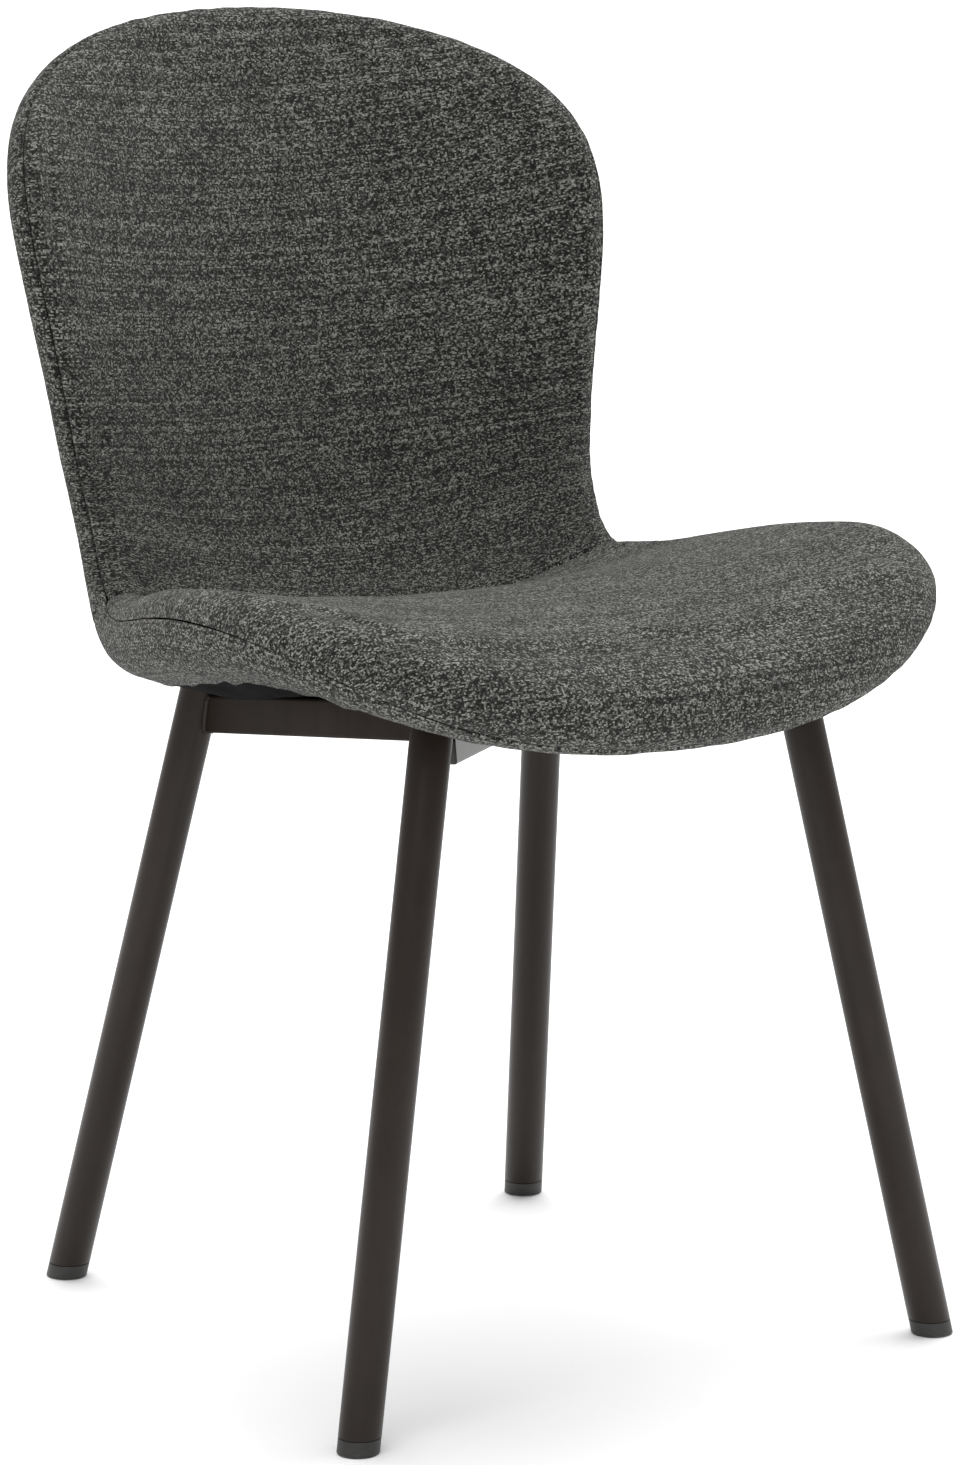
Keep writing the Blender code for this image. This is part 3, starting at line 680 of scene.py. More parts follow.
# ---------------------------------------------------------------- upholstery
@dataclass
class Upholstery:
    """The padded cover: four sewn panels and the lining cloth."""

    finishes: Finishes
    form: ShellForm = field(default_factory=ShellForm)
    cloth_thick: float = 0.0016
    cell: float = 0.0028          # spacing of the mesh lines in the open cloth
    tuck: float = 0.0030          # radius of a panel's edge where it rolls into a seam
    fold_pull: float = 0.0026     # depth of the soft valley along the fold
    hem: float = 0.93             # the band under the seat reaches in to this fraction
    swell: float = 0.0030         # most that the padding pushes the cloth out
    pressure: float = 4.0
    slit: float = math.radians(1.8)   # opening of the seam where it isn't pressed
    fold_roll: float = 1.5        # size of the roll at the fold, in rolls at a seam
    push_wrap: float = 0.12       # border of the simulated cloth, in grid units
    seat_unit: tuple[float, float] = (0.235, 0.235)   # metres for one grid unit, across
    back_unit: tuple[float, float] = (0.27, 0.40)     # and along, to space the lines
    open_cloth: float = 0.03      # from a seam to where the cloth lies undisturbed
    reach_size: float = 0.24      # metres for one grid unit from the middle to the edge

    # ---- grid lines
    def lines(self, low: float, high: float, scale: float) -> Array:
        """Grid lines from low to high, closer together at the two sewn ends.

        Args:
            low, high: first and last line.
            scale: metres for one grid unit.

        Returns:
            The lines' places.
        """
        near = np.array([0.0, 0.0004, 0.0009, 0.0015, 0.0022, 0.0032, 0.0046]) / scale
        start, end = low + near, high - near[::-1]
        count = max(2, int(round((end[0] - start[-1]) * scale / self.cell)))
        between = np.linspace(start[-1], end[0], count + 1)
        return np.concatenate((start[:-1], between, end[1:]))

    def cut(self, panel: Panel) -> tuple[Piece, Array, Array]:
        """Lay out one panel.

        Args:
            panel: which panel.

        Returns:
            Its flat grid, and the grid's columns and rows.
        """
        end = 1 + panel.wrap
        across, ahead = self.back_unit if panel.upper else self.seat_unit
        columns = self.lines(-end, end, across)
        rows = (self.lines(self.form.fold, end, ahead) if panel.upper
                else self.lines(-end, self.form.fold, ahead))
        return self.sheet_grid(columns, rows), columns, rows

    def sheet_grid(self, columns: Array, rows: Array) -> Piece:
        """Add a flat grid with as many lines as there are columns and rows.

        Args:
            columns, rows: the grid's lines.

        Returns:
            The grid, active and selected.
        """
        clear_selection()
        bpy.ops.mesh.primitive_grid_add(x_subdivisions=len(columns) - 1,
                                        y_subdivisions=len(rows) - 1, size=1.0)
        return bpy.context.object

    # ---- surface of the padded form
    def turned(self, a: Array, b: Array, depth: Array, turn: Array
               ) -> tuple[Array, Array, Array]:
        """Points on the padded form.

        Args:
            a, b: places in the unit square.
            depth: distance from the mid-surface.
            turn: angle from the sitter's side, 0 on the front face and pi on the rear.

        Returns:
            The points, their outward unit normals, and their places on the weave in metres.
        """
        across, along = a * np.sqrt(1 - b * b / 2), b * np.sqrt(1 - a * a / 2)
        middle = self.form.middle(across, along)
        normal, outward, weft, warp = self.form.axes(across, along)
        away = np.cos(turn)[..., None] * normal + np.sin(turn)[..., None] * outward
        stations = self.form.at(along)
        flat_u, flat_v = stations[..., 2] * across, self.form.run(along)
        over = stations[..., 5] * np.where(turn > math.pi / 2, math.pi - turn, turn)
        behind = np.where(turn > math.pi / 2, stations[..., 5] * math.pi - over, over)
        flat_u = flat_u + behind * np.sum(outward * weft, axis=-1)
        flat_v = flat_v + behind * np.sum(outward * warp, axis=-1)
        return middle + depth[..., None] * away, away, np.stack((flat_u, flat_v), axis=-1)

    def wrapped(self, columns: Array, rows: Array, wrap: float
                ) -> tuple[Array, ...]:
        """Carry a grid into the unit square; what lies outside it wraps round the edge.

        Args:
            columns, rows: the grid's lines.
            wrap: width of the wrapped border in grid units.

        Returns:
            The places a and b, the place along the middle line, the grid's own reach from
            its middle, and how far round the border each point is, from 0 to 1.
        """
        a, b = np.meshgrid(columns, rows)
        reach = np.maximum(np.abs(a), np.abs(b))
        over = np.clip((reach - 1.0) / wrap, 0.0, 1.0)
        shrink = 1.0 / np.maximum(reach, 1.0)
        a, b = a * shrink, b * shrink
        return a, b, b * np.sqrt(1 - a * a / 2), reach, over

    # ---- the padding's push, by simulation
    def push(self) -> tuple[Array, Array, Array]:
        """How far the padding pushes out the front cloth, from a cloth simulation.

        A coarse copy of the seat and back panels is held along the seams and the fold and
        blown out by an even pressure, with no gravity.

        Returns:
            The coarse grid's columns and rows, and the push at each of its points.
        """
        end = 1.0 + self.push_wrap
        columns, rows = np.linspace(-end, end, 57), np.linspace(-end, end, 101)
        piece = self.sheet_grid(columns, rows)
        a, b, along, _, over = self.wrapped(columns, rows, self.push_wrap)
        half = self.form.at(along)[..., 5]
        points, away, _ = self.turned(a, b, half, over * self.form.seam_turn(along))
        piece.data.vertices.foreach_set("co", points.reshape(-1).astype(np.float32))
        piece.data.update()
        fold_row = int(np.argmin(np.abs(rows - self.form.fold)))
        held = np.zeros(points.shape[:2], dtype=bool)
        held[[0, -1, fold_row], :] = True
        held[:, [0, -1]] = True
        group = piece.vertex_groups.new(name="held")
        group.add([int(i) for i in np.flatnonzero(held)], 1.0, "REPLACE")
        cloth = piece.modifiers.new("cloth", "CLOTH")
        settings = cloth.settings
        settings.quality = 6
        settings.mass = 0.35
        settings.tension_stiffness = settings.compression_stiffness = 22.0
        settings.shear_stiffness = 8.0
        settings.bending_stiffness = 1.2
        settings.use_pressure = True
        settings.uniform_pressure_force = self.pressure
        settings.vertex_group_mass = "held"
        settings.shrink_min = -0.012
        settings.effector_weights.gravity = 0.0
        cloth.collision_settings.use_collision = False
        scene = bpy.context.scene
        for step in range(1, 21):
            scene.frame_set(step)
        shape = piece.evaluated_get(bpy.context.evaluated_depsgraph_get())
        blown = np.empty(len(piece.data.vertices) * 3, dtype=np.float32)
        shape.data.vertices.foreach_get("co", blown)
        moved = np.sum((blown.reshape(points.shape) - points) * away, axis=-1)
        scene.frame_set(1)
        bpy.data.objects.remove(piece, do_unlink=True)
        LOG.info("padding push: %.1f to %.1f mm", moved.min() * 1000, moved.max() * 1000)
        return columns, rows, np.clip(moved, -0.001, self.swell)

    def read_push(self, pushed: tuple[Array, ...] | None, columns: Array,
                  rows: Array) -> Array:
        """The push on a panel's own grid, or nothing where the simulation was skipped.

        Args:
            pushed: the padding's push from the simulation, or None.
            columns, rows: the panel's lines, in the simulated cloth's units.

        Returns:
            The push at each point of the panel, in metres.
        """
        if pushed is None:
            return np.zeros((len(rows), len(columns)))
        coarse_columns, coarse_rows, amount = pushed
        wide = np.stack([np.interp(columns, coarse_columns, row) for row in amount])
        return np.stack([np.interp(rows, coarse_rows, wide[:, i])
                         for i in range(len(columns))], axis=1)

    # ---- sewn edges
    def edge_roll(self, distance: Array, along: Array) -> Array:
        """How far a panel's edge has turned in; the seam is pressed flat along the seat.

        Args:
            distance: from the seam, in metres.
            along: place along the middle line.

        Returns:
            The depth that the cloth has turned in by, in metres.
        """
        pressed = self.pressed(along)
        radius = self.tuck * (1 - 0.95 * pressed)
        share = np.clip(1 - distance / radius, 0.0, 1.0)
        valley = 0.0009 * pressed * np.exp(-(distance / 0.0040) ** 2)
        return valley + radius * (1 - np.sqrt(np.maximum(1 - share * share, 0.0)))

    def pressed(self, along: Array) -> Array:
        """Where the seam is pressed flat: all along the seat's sides."""
        return np.clip((-0.03 - along) / 0.12, 0, 1) * np.clip((along + 0.93) / 0.10, 0, 1)

    def gather(self, distance: Array, flat: Array, seed: int) -> Array:
        """Small gathers that the sewing leaves along a seam, fading out into the cloth."""
        fade = np.exp(-distance / 0.010) * np.clip(distance / 0.002, 0.0, 1.0)
        return 0.00042 * fade * ripple(flat[..., 0], flat[..., 1], seed, 0.010)

    def edges(self, to_seam: Array, to_fold: Array, along: Array,
              flat: Array, seed: int) -> Array:
        """How far the sewing draws a panel in along its seam and along the fold.

        Args:
            to_seam, to_fold: distances from them, in metres.
            along: place along the middle line.
            flat: places on the weave, in metres.
            seed: picks the gathers along the fold.

        Returns:
            The depth drawn in, in metres.
        """
        at_fold = self.edge_roll(to_fold / self.fold_roll, np.zeros_like(along))
        return (self.edge_roll(to_seam, along) + self.fold_roll * at_fold
                - self.gather(to_seam, flat, 21) - 0.6 * self.gather(to_fold, flat, seed))

    def build_panel(self, panel: Panel, pushed: tuple[Array, ...] | None) -> None:
        """Args:
            panel: which panel.
            pushed: the padding's push from the simulation, or None.
        """
        piece, columns, rows = self.cut(panel)
        a, b, along, reach, over = self.wrapped(columns, rows, panel.wrap)
        # The angle round the shell's edge, from the panel's own face to its seam.
        arc = self.form.seam_turn(along)
        if panel.behind:
            arc = math.pi - (arc + self.slit * (1 - 0.96 * self.pressed(along)))
        turn = math.pi - over * arc if panel.behind else over * arc
        half = self.form.at(along)[..., 5]
        _, _, flat = self.turned(a, b, half, turn)
        to_seam = (1 - over) * half * arc + np.clip((1 - reach) * self.reach_size, 0, None)
        to_fold = np.abs(self.form.run(along))
        off_seam, off_fold = (np.clip(distance / self.open_cloth, 0.0, 1.0)
                              for distance in (to_seam, to_fold))
        depth = half + panel.uneven * off_seam * ripple(flat[..., 0], flat[..., 1],
                                                        panel.seed, panel.swell)
        if not panel.behind:
            push = self.read_push(pushed, *self.carry(columns, rows, panel.wrap))
            depth += push * off_seam * off_fold
            depth -= self.fold_pull * np.exp(-(to_fold / 0.013) ** 2)
        depth -= self.edges(to_seam, to_fold, along, flat, 41 if panel.behind else 34)
        points, _, _ = self.turned(a, b, depth, turn)
        self.ease_fold(points, to_fold, panel)
        if panel.behind:
            self.flip(piece)
        if panel is Panel.UNDER_BAND:
            self.wave_hem(points, a, b, reach, flat)
            kept = self.trim_inside(piece, reach < self.hem)
            points, flat = points[kept], self.round_rim(a, b, to_seam)[kept]
        lay_cloth(piece, points, flat, self.cloth_thick)
        piece = settle(panel.title, self.finishes.cloth, 75.0)
        stand_for(piece, "fabric", *panel.nodes)

    def carry(self, columns: Array, rows: Array, wrap: float
              ) -> tuple[Array, Array]:
        """A panel's lines in the grid units of the simulated cloth.

        Args:
            columns, rows: the panel's lines.
            wrap: the panel's own border in grid units.

        Returns:
            The same lines in the other units.
        """
        ratio = self.push_wrap / wrap

        def over(lines: Array) -> Array:
            """Scale only what lies beyond the unit square."""
            extra = np.clip(np.abs(lines) - 1.0, 0.0, None)
            return np.sign(lines) * (np.minimum(np.abs(lines), 1.0) + extra * ratio)

        return over(columns), over(rows)

    def ease_fold(self, points: Array, to_fold: Array, panel: Panel) -> None:
        """Open the fold by a hair, so that the panels on its two sides stay apart."""
        forward = panel.upper == panel.behind
        points[..., 1] += (-1.0 if forward else 1.0) * 0.00035 * np.exp(-to_fold / 0.003)

    def round_rim(self, a: Array, b: Array, to_seam: Array) -> Array:
        """The band is cut along the rim, so that its weave runs round the seat.

        Args:
            a, b: places in the unit square.
            to_seam: distance from the seam, in metres.

        Returns:
            The places on the weave, in metres.
        """
        angle = np.linspace(-math.pi, math.pi, 721)
        across, ahead = np.sin(angle), -np.cos(angle)
        size = np.maximum(np.abs(across), np.abs(ahead))
        _, _, rim = self.turned(across / size, ahead / size, np.zeros_like(angle),
                                np.full_like(angle, math.pi / 2))
        steps = np.hypot(*np.diff(rim, axis=0).T)
        length = np.concatenate(((0.0,), np.cumsum(steps)))
        return np.stack((np.interp(np.arctan2(a, -b), angle, length), to_seam), axis=-1)

    def flip(self, piece: Piece) -> None:
        """Turn a grid's faces over, because it looks out on the rear of the shell."""
        pick(piece)
        edit("SELECT")
        bpy.ops.mesh.flip_normals()
        bpy.ops.object.mode_set(mode="OBJECT")

    def trim_inside(self, piece: Piece, inside: Array) -> Array:
        """Drop a grid's points that lie inside the hem, and tell which ones stay.

        Args:
            piece: the grid.
            inside: for each point, whether it goes.

        Returns:
            For each point, whether it stays.
        """
        pick(piece)
        edit("DESELECT", "VERT")
        bpy.ops.object.mode_set(mode="OBJECT")
        piece.data.vertices.foreach_set("select", inside.reshape(-1))
        bpy.ops.object.mode_set(mode="EDIT")
        bpy.ops.mesh.delete(type="VERT")
        bpy.ops.object.mode_set(mode="OBJECT")
        return ~inside

    def wave_hem(self, points: Array, a: Array, b: Array, reach: Array,
                 flat: Array) -> None:
        """Let the turned hem under the seat stand a little proud and wave.

        Args:
            points: the band's points, moved here.
            a, b: places in the unit square.
            reach: the points' reach from the grid's middle.
            flat: places on the weave, in metres.
        """
        near = np.exp(-np.clip(reach - self.hem, 0.0, None) / 0.10)
        points[..., 2] -= near * (self.sag(a, b)
                                  + 0.0014 * ripple(flat[..., 0], flat[..., 1], 55, 0.022))

    def sag(self, a: Array, b: Array) -> Array:
        """How far the hem stands down from the shell, most beside the front of the rails."""
        beside = np.clip((np.abs(a) - 0.5) / 0.3, 0.0, 1.0)
        return 0.0024 + beside * (0.0072 * np.exp(-((b + 0.66) / 0.20) ** 2)
                                  + 0.0026 * np.exp(-((b + 0.40) / 0.15) ** 2))

    def hang_slack(self, points: Array) -> Array:
        """Let the lining hang slack beside the rails, down to just over the frame's plane.

        Args:
            points: the lining's points.

        Returns:
            The points where they hang.
        """
        beside = np.exp(-((np.abs(points[..., 0]) - 0.157) / 0.036) ** 2)
        window = np.exp(-((points[..., 1] + 0.040) / 0.085) ** 4)
        plane = 0.4163 - 0.1437 * (points[..., 1] + MIDDLE_Y) + 0.0014
        lowered = points[..., 2] - 0.0170 * beside * window
        hung = points.copy()
        hung[..., 2] = np.where(points[..., 2] > plane, np.maximum(lowered, plane),
                                points[..., 2])
        return hung

    def build_lining(self) -> None:
        """Build the black lining cloth, stretched over the underside inside the hem."""
        reach_to = self.hem + 0.02
        columns = np.linspace(-reach_to, reach_to, 89)
        rows = np.linspace(-reach_to, self.form.fold - 0.01, 69)
        piece = self.sheet_grid(columns, rows)
        a, b = np.meshgrid(columns, rows)
        along = b * np.sqrt(1 - a * a / 2)
        half = self.form.at(along)[..., 5]
        reach = np.maximum(np.abs(a), np.abs(b))
        raised = 0.0030 * np.clip((self.hem - reach) / 0.14, 0.0, 1.0)
        _, _, flat = self.turned(a, b, half, np.full_like(a, math.pi))
        slack = 0.0005 * ripple(flat[..., 0], flat[..., 1], 77, 0.05)
        depth = half - self.cloth_thick - 0.0004 - raised - np.abs(slack)
        points, _, _ = self.turned(a, b, depth, np.full_like(a, math.pi))
        points[..., 2] -= self.sag(a, b) * np.exp(-np.abs(self.hem - reach) / 0.10)
        points = self.hang_slack(points)
        self.flip(piece)
        area = lay_cloth(piece, points, flat, 0.0006)
        piece = settle("lining_cloth_stretched", self.finishes.lining, 75.0)
        stand_for(piece, "dust_cloth", "dust_cloth")

    def build(self) -> None:
        """Build every panel and the lining."""
        pushed = self.push()
        for panel in Panel:
            self.build_panel(panel, pushed)
        self.build_lining()


# ---------------------------------------------------------------- steel frame
@dataclass
class SteelFrame:
    """Four splayed tube legs, two side rails and a crossed brace, welded together."""

    finishes: Finishes
    leg_radius: float = 0.0131
    slope: float = -0.1437        # dz/dy of the frame's plane
    top_z: float = 0.4163         # top of the side rails at the middle of the feet
    top_drop: tuple[float, float] = (0.0065, -0.0095)   # leg tops below the plane, by row
    rail_x: float = 0.1275
    rail_size: tuple[float, float] = (0.016, 0.0241)
    brace_size: tuple[float, float] = (0.022, 0.034)
    half_brace_size: tuple[float, float] = (0.022, 0.019)
    brace_drop: float = 0.005     # the braces' tops below the rails' tops
    cross_gap: float = 0.010      # from the crossing to the end of each half brace
    corner: float = 0.0022        # outside corner radius of the rectangular tubes
    glide_height: float = 0.009
    weld: float = 0.0017          # radius of a weld bead

    def leg_line(self, row: Row, side: Side) -> tuple[Vector, Vector]:
        """Foot point and upward unit direction of one leg's axis.

        Args:
            row, side: which leg.

        Returns:
            The foot point and the direction.
        """
        foot_x, foot_y, top_x, top_y = {
            Row.FRONT: (0.2171, -0.2079, 0.1319, -0.1620),
            Row.REAR: (0.1822, 0.2079, 0.1287, 0.1017)}[row]
        foot = Vector((side.value * foot_x, foot_y - MIDDLE_Y, 0.0))
        top = Vector((side.value * top_x, top_y - MIDDLE_Y, 0.440))
        return foot, (top - foot).normalized()

    def on_leg(self, row: Row, side: Side, z: float) -> Vector:
        """The point of a leg's axis at height z."""
        foot, up = self.leg_line(row, side)
        return foot + up * (z / up.z)

    def drop(self, row: Row) -> float:
        """How far a row's leg tops lie below the plane of the rail tops."""
        return self.top_drop[0 if row is Row.FRONT else 1]

    @property
    def up(self) -> Vector:
        """Normal of the frame's plane."""
        return Vector((0.0, -self.slope, 1.0)).normalized()

    def plane_point(self, x: float, y: float, below: float = 0.0) -> Vector:
        """A point on the plane of the rail tops, or that far below it."""
        return Vector((x, y, self.top_z + self.slope * (y + MIDDLE_Y))) - self.up * below

    def tube(self, start: Vector, end: Vector, radius: float) -> Piece:
        """Add a round bar between two points, ready for edit mode.

        Args:
            start, end: middle points of its two ends.
            radius: its radius.

        Returns:
            The bar, active and selected.
        """
        clear_selection()
        axis = end - start
        bpy.ops.mesh.primitive_cylinder_add(
            vertices=72, radius=radius, depth=axis.length, location=(start + end) / 2,
            rotation=axis.to_track_quat("Z", "Y").to_euler())
        bpy.ops.object.transform_apply(location=True, rotation=True, scale=True)
        return bpy.context.object

    def trim(self, point: Vector, normal: Vector) -> None:
        """Cut the active piece by a plane and close the cut, dropping the normal's side.

        Args:
            point: a point on the plane.
            normal: the plane's normal.
        """
        edit("SELECT")
        bpy.ops.mesh.bisect(plane_co=point, plane_no=normal, use_fill=True,
                            clear_outer=True)
        bpy.ops.object.mode_set(mode="OBJECT")

    def soften(self, piece: Piece, width: float, segments: int = 3) -> None:
        """Round the piece's sharp edges and apply it.

        Args:
            piece: the piece.
            width: width of the rounding.
            segments: steps across it.
        """
        bevel = piece.modifiers.new("soft_edges", "BEVEL")
        bevel.width = width
        bevel.segments = segments
        bevel.limit_method = "ANGLE"
        bevel.angle_limit = math.radians(40)
        apply_modifiers(piece)

    def build_leg(self, row: Row, side: Side) -> None:
        """One round tube leg, level above its glide and square to the frame at its top.

        Args:
            row, side: which leg.
        """
        name = f"{row.value}_{side.word}"
        piece = self.tube(self.on_leg(row, side, -0.03), self.on_leg(row, side, 0.47),
                          self.leg_radius)
        self.trim(Vector((0, 0, self.glide_height + 0.0004)), Vector((0, 0, -1)))
        self.trim(self.plane_point(0.0, -MIDDLE_Y, self.drop(row)), self.up)
        self.soften(piece, 0.0005, 2)
        piece = settle("tube_leg_" + name, self.finishes.coat, 30.0)
        stand_for(piece, "steel_paint", "leg_" + name)

    def build_glide(self, row: Row, side: Side) -> None:
        """One plastic foot: a level pad with a rounded rim and a fine parting groove.

        Args:
            row, side: which leg it's under.
        """
        name = f"{row.value}_{side.word}"
        piece = self.tube(self.on_leg(row, side, -0.03), self.on_leg(row, side, 0.04),
                          self.leg_radius - 0.0001)
        self.trim(Vector((0, 0, self.glide_height)), Vector((0, 0, 1)))
        self.trim(Vector((0, 0, 0)), Vector((0, 0, -1)))
        edit("DESELECT", "FACE")
        bpy.ops.object.mode_set(mode="OBJECT")
        for polygon in piece.data.polygons:
            polygon.select = abs(polygon.normal.z) > 0.99 and polygon.center.z > 0.004
        bpy.ops.object.mode_set(mode="EDIT")
        bpy.ops.mesh.inset(thickness=0.0009)
        bpy.ops.mesh.extrude_region_move(TRANSFORM_OT_translate={"value": (0, 0, 0.0006)})
        bpy.ops.object.mode_set(mode="OBJECT")
        self.soften(piece, 0.0016, 4)
        piece = settle("foot_glide_" + name, self.finishes.plastic, 35.0)
        stand_for(piece, "glide_plastic", "glide_" + name)

    def bar(self, start: Vector, end: Vector, size: tuple[float, float]) -> Piece:
        """Add a rectangular tube whose top middle line runs between two points.

        Args:
            start, end: the top middle line's ends.
            size: width and height of the section.

        Returns:
            The tube, active and selected.
        """
        clear_selection()
        along = (end - start).normalized()
        across = along.cross(self.up).normalized()
        normal = across.cross(along)
        bpy.ops.mesh.primitive_cube_add(size=1.0)
        piece = bpy.context.object
        mesh = piece.data
        middle = (start + end) / 2 - normal * size[1] / 2
        span = ((end - start).length, *size)
        for vertex in mesh.vertices:
            place = vertex.co
            vertex.co = middle + along * place.x * span[0] + across * place.y * span[1] \
                + normal * place.z * span[2]
        mesh.update()
        return piece

    def build_rail(self, side: Side) -> None:
        """One side rail between the front and rear leg, with rounded corners.

        Args:
            side: which side.
        """
        front = self.on_leg(Row.FRONT, side, 0.42)
        rear = self.on_leg(Row.REAR, side, 0.40)
        x = side.value * self.rail_x
        piece = self.bar(self.plane_point(x, front.y + 0.004),
                         self.plane_point(x, rear.y - 0.004), self.rail_size)
        self.soften(piece, self.corner, 4)
        piece = settle("rail_" + side.word, self.finishes.dry_coat, 40.0)
        stand_for(piece, "steel_paint", "side_rail_" + side.word)

    def build_brace(self) -> None:
        """The crossed braces: one long tube, and two halves butted against it."""
        def ends(side: Side) -> tuple[Vector, Vector]:
            """End points of the diagonal that starts at one front leg.

            Args:
                side: the front leg's side.

            Returns:
                The diagonal's front and rear end.
            """
            front = self.on_leg(Row.FRONT, side, 0.42)
            rear = self.on_leg(Row.REAR, Side(-side.value), 0.39)
            return (self.plane_point(front.x, front.y, self.brace_drop),
                    self.plane_point(rear.x, rear.y, self.brace_drop))

        face = self.rail_x - self.rail_size[0] / 2 + 0.002
        front, rear = ends(Side.LEFT)
        middle = (front + rear) / 2
        step = (rear - front).normalized() * self.cross_gap
        for word, first, last, size, cuts in (
                ("long", *ends(Side.RIGHT), self.brace_size, (-1.0, 1.0)),
                ("half_front", front, middle - step, self.half_brace_size, (1.0,)),
                ("half_rear", middle + step, rear, self.half_brace_size, (-1.0,))):
            piece = self.bar(first, last, size)
            self.soften(piece, self.corner, 4)
            for sign in cuts:
                self.trim(Vector((sign * face, 0.0, 0.0)), Vector((sign, 0.0, 0.0)))
            piece = settle("cross_brace_" + word, self.finishes.coat, 40.0)
            stand_for(piece, "steel_paint", "brace_" + word)

    def build_weld(self, row: Row, side: Side) -> None:
        """A weld bead round a side rail where it meets its leg.

        Args:
            row, side: which leg.
        """
        foot, up = self.leg_line(row, side)
        inward = 1.0 if row is Row.FRONT else -1.0
        back = Vector((0.0, 1.0, self.slope)).normalized() * inward
        corner = self.plane_point(side.value * self.rail_x, self.on_leg(row, side, 0.41).y)
        lowered = max(self.drop(row), 0.0)
        flat_back = back - up * back.dot(up)
        a = flat_back.length_squared
        bead = []
        for i in range(48):
            angle = 2 * math.pi * i / 48
            x, z = (math.copysign(abs(part) ** 0.35, part) * size / 2 for part, size
                    in zip((math.cos(angle), math.sin(angle)), self.rail_size))
            start = corner + Vector((x, 0, 0)) \
                + self.up * min(z - self.rail_size[1] / 2, -lowered)
            # From the tube's outline, go along the rail to the leg's round surface.
            offset = start - foot
            flat_offset = offset - up * offset.dot(up)
            b = 2 * flat_offset.dot(flat_back)
            c = flat_offset.length_squared - (self.leg_radius + 0.0002) ** 2
            root = math.sqrt(max(b * b - 4 * a * c, 0.0))
            bead.append(start + back * ((-b + root) / (2 * a)))
        data = bpy.data.curves.new("bead", "CURVE")
        data.dimensions = "3D"
        data.bevel_depth = self.weld
        data.bevel_resolution = 3
        line = data.splines.new("POLY")
        line.points.add(len(bead) - 1)
        for i, (point, place) in enumerate(zip(line.points, bead)):
            point.co = (*place, 1.0)
            point.radius = 1.0 + 0.16 * math.sin(i * 1.9)
        line.use_cyclic_u = True
        piece = bpy.data.objects.new("bead", data)
        bpy.context.scene.collection.objects.link(piece)
        pick(piece)
        bpy.ops.object.convert(target="MESH")
        piece = settle(f"weld_{row.value}_{side.word}", self.finishes.coat, 80.0)
        stand_for(piece, "steel_paint")

    def build(self) -> None:
        """Build every steel piece and the feet."""
        for side in Side:
            for row in Row:
                self.build_leg(row, side)
                self.build_glide(row, side)
                self.build_weld(row, side)
            self.build_rail(side)
        self.build_brace()


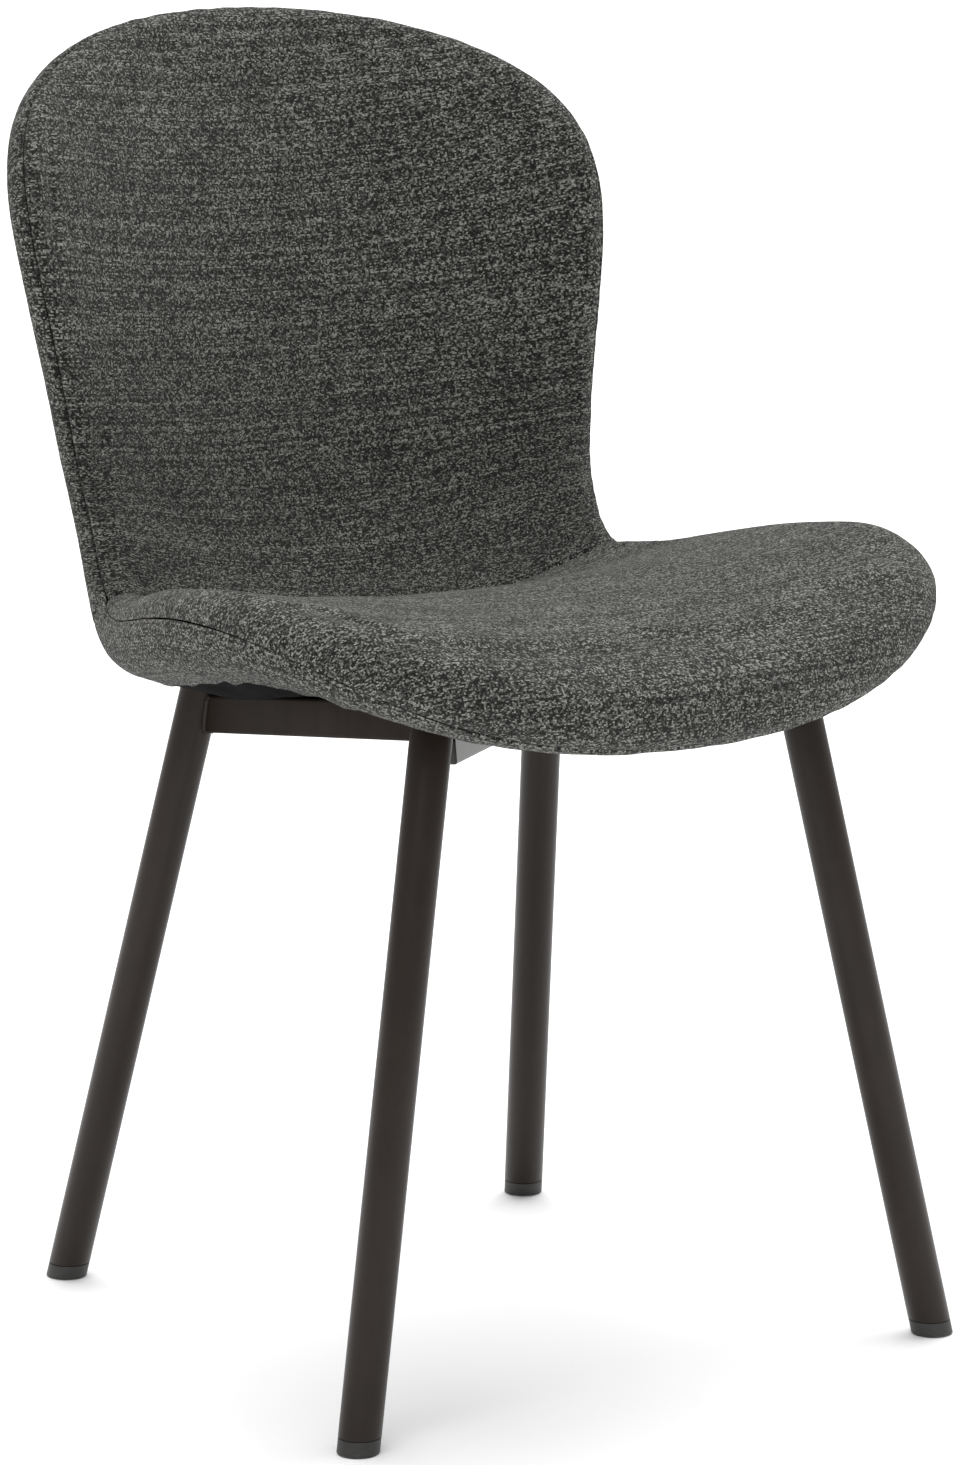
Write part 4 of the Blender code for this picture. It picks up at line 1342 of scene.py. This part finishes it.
# ---------------------------------------------------------------- studio
@dataclass(frozen=True)
class Studio:
    """A pale floor, soft lights and the camera."""

    camera_at: tuple[float, float, float] = (-1.9204, -2.9252, 1.0694)
    camera_down: float = 10.409   # degrees below level
    camera_turn: float = -33.468  # degrees round the upright axis
    lens: float = 137.0
    shift: tuple[float, float] = (0.0072, -0.0527)
    lights: tuple[tuple, ...] = (          # name, turn, height, spread, strength
        ("overhead", 140.0, 66.0, 60.0, 2.7),
        ("right_hand", -55.0, 52.0, 40.0, 0.75),
        ("left_hand", 75.0, 30.0, 40.0, 0.30))
    surroundings: float = 0.6

    def add_sun(self, name: str, turn: float, height: float, spread: float,
                strength: float) -> None:
        """Add a soft light from far away.

        Args:
            name: the light's name.
            turn: degrees round the chair, 0 in front of the sitter and 90 at their left.
            height: degrees above level.
            spread: its apparent width in degrees.
            strength: its strength.
        """
        data = bpy.data.lights.new(name, "SUN")
        data.angle = math.radians(spread)
        data.energy = strength
        light = bpy.data.objects.new(name, data)
        flat, up = math.cos(math.radians(height)), math.sin(math.radians(height))
        source = Vector((math.sin(math.radians(turn)) * flat,
                         -math.cos(math.radians(turn)) * flat, up))
        light.rotation_euler = (-source).to_track_quat("-Z", "Y").to_euler()
        bpy.context.scene.collection.objects.link(light)

    def build(self) -> None:
        """Set up the floor, the lights, the surroundings and the camera."""
        clear_selection()
        bpy.ops.mesh.primitive_circle_add(vertices=96, radius=30.0, fill_type="NGON",
                                          location=(0, 0, -0.0006))
        bench = Bench("pale_floor")
        place = bench.place()
        cloud = bench.ramp(bench.noise(place, 3.0, 0.5, 0.8), 0.3, 0.7, 0.985, 1.0)
        bench.feed(bench.shader.inputs["Base Color"], bench.grey(cloud))
        bench.constants(Roughness=0.9, Specular_IOR_Level=0.1)
        settle("floor", bench.material)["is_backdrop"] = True
        bpy.context.scene.view_settings.view_transform = "Standard"
        world = bpy.data.worlds.new("studio")
        bpy.context.scene.world = world
        world.use_nodes = True
        back = world.node_tree.nodes["Background"]
        back.inputs[0].default_value = (1.0, 1.0, 1.0, 1.0)
        back.inputs[1].default_value = self.surroundings
        for light in self.lights:
            self.add_sun(*light)
        data = bpy.data.cameras.new("camera")
        data.lens = self.lens
        data.sensor_width = 36.0
        data.shift_x, data.shift_y = self.shift
        data.clip_end = 60.0
        camera = bpy.data.objects.new("camera", data)
        camera.location = self.camera_at
        camera.rotation_euler = (math.radians(90 - self.camera_down), 0.0,
                                 math.radians(self.camera_turn))
        bpy.context.scene.collection.objects.link(camera)
        bpy.context.scene.camera = camera


def plain(value: object) -> object:
    """Nested lists of plain numbers.

    Args:
        value: a number, or nested rows of numbers.

    Returns:
        The same as plain lists and numbers.
    """
    if isinstance(value, (int, float)):
        return float(value)
    return [plain(item) for item in value]


def main() -> None:
    """Build the chair and its studio, and work out the sizes of both models."""
    logging.basicConfig(level=logging.INFO, format="%(name)s %(message)s")
    finishes = Finishes()
    finishes.dress_hidden()
    Upholstery(finishes).build()
    SteelFrame(finishes).build()
    Studio().build()
    {"cad": plain(CAD_BOX), "visual": plain(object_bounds())}


if __name__ == "__main__":
    main()
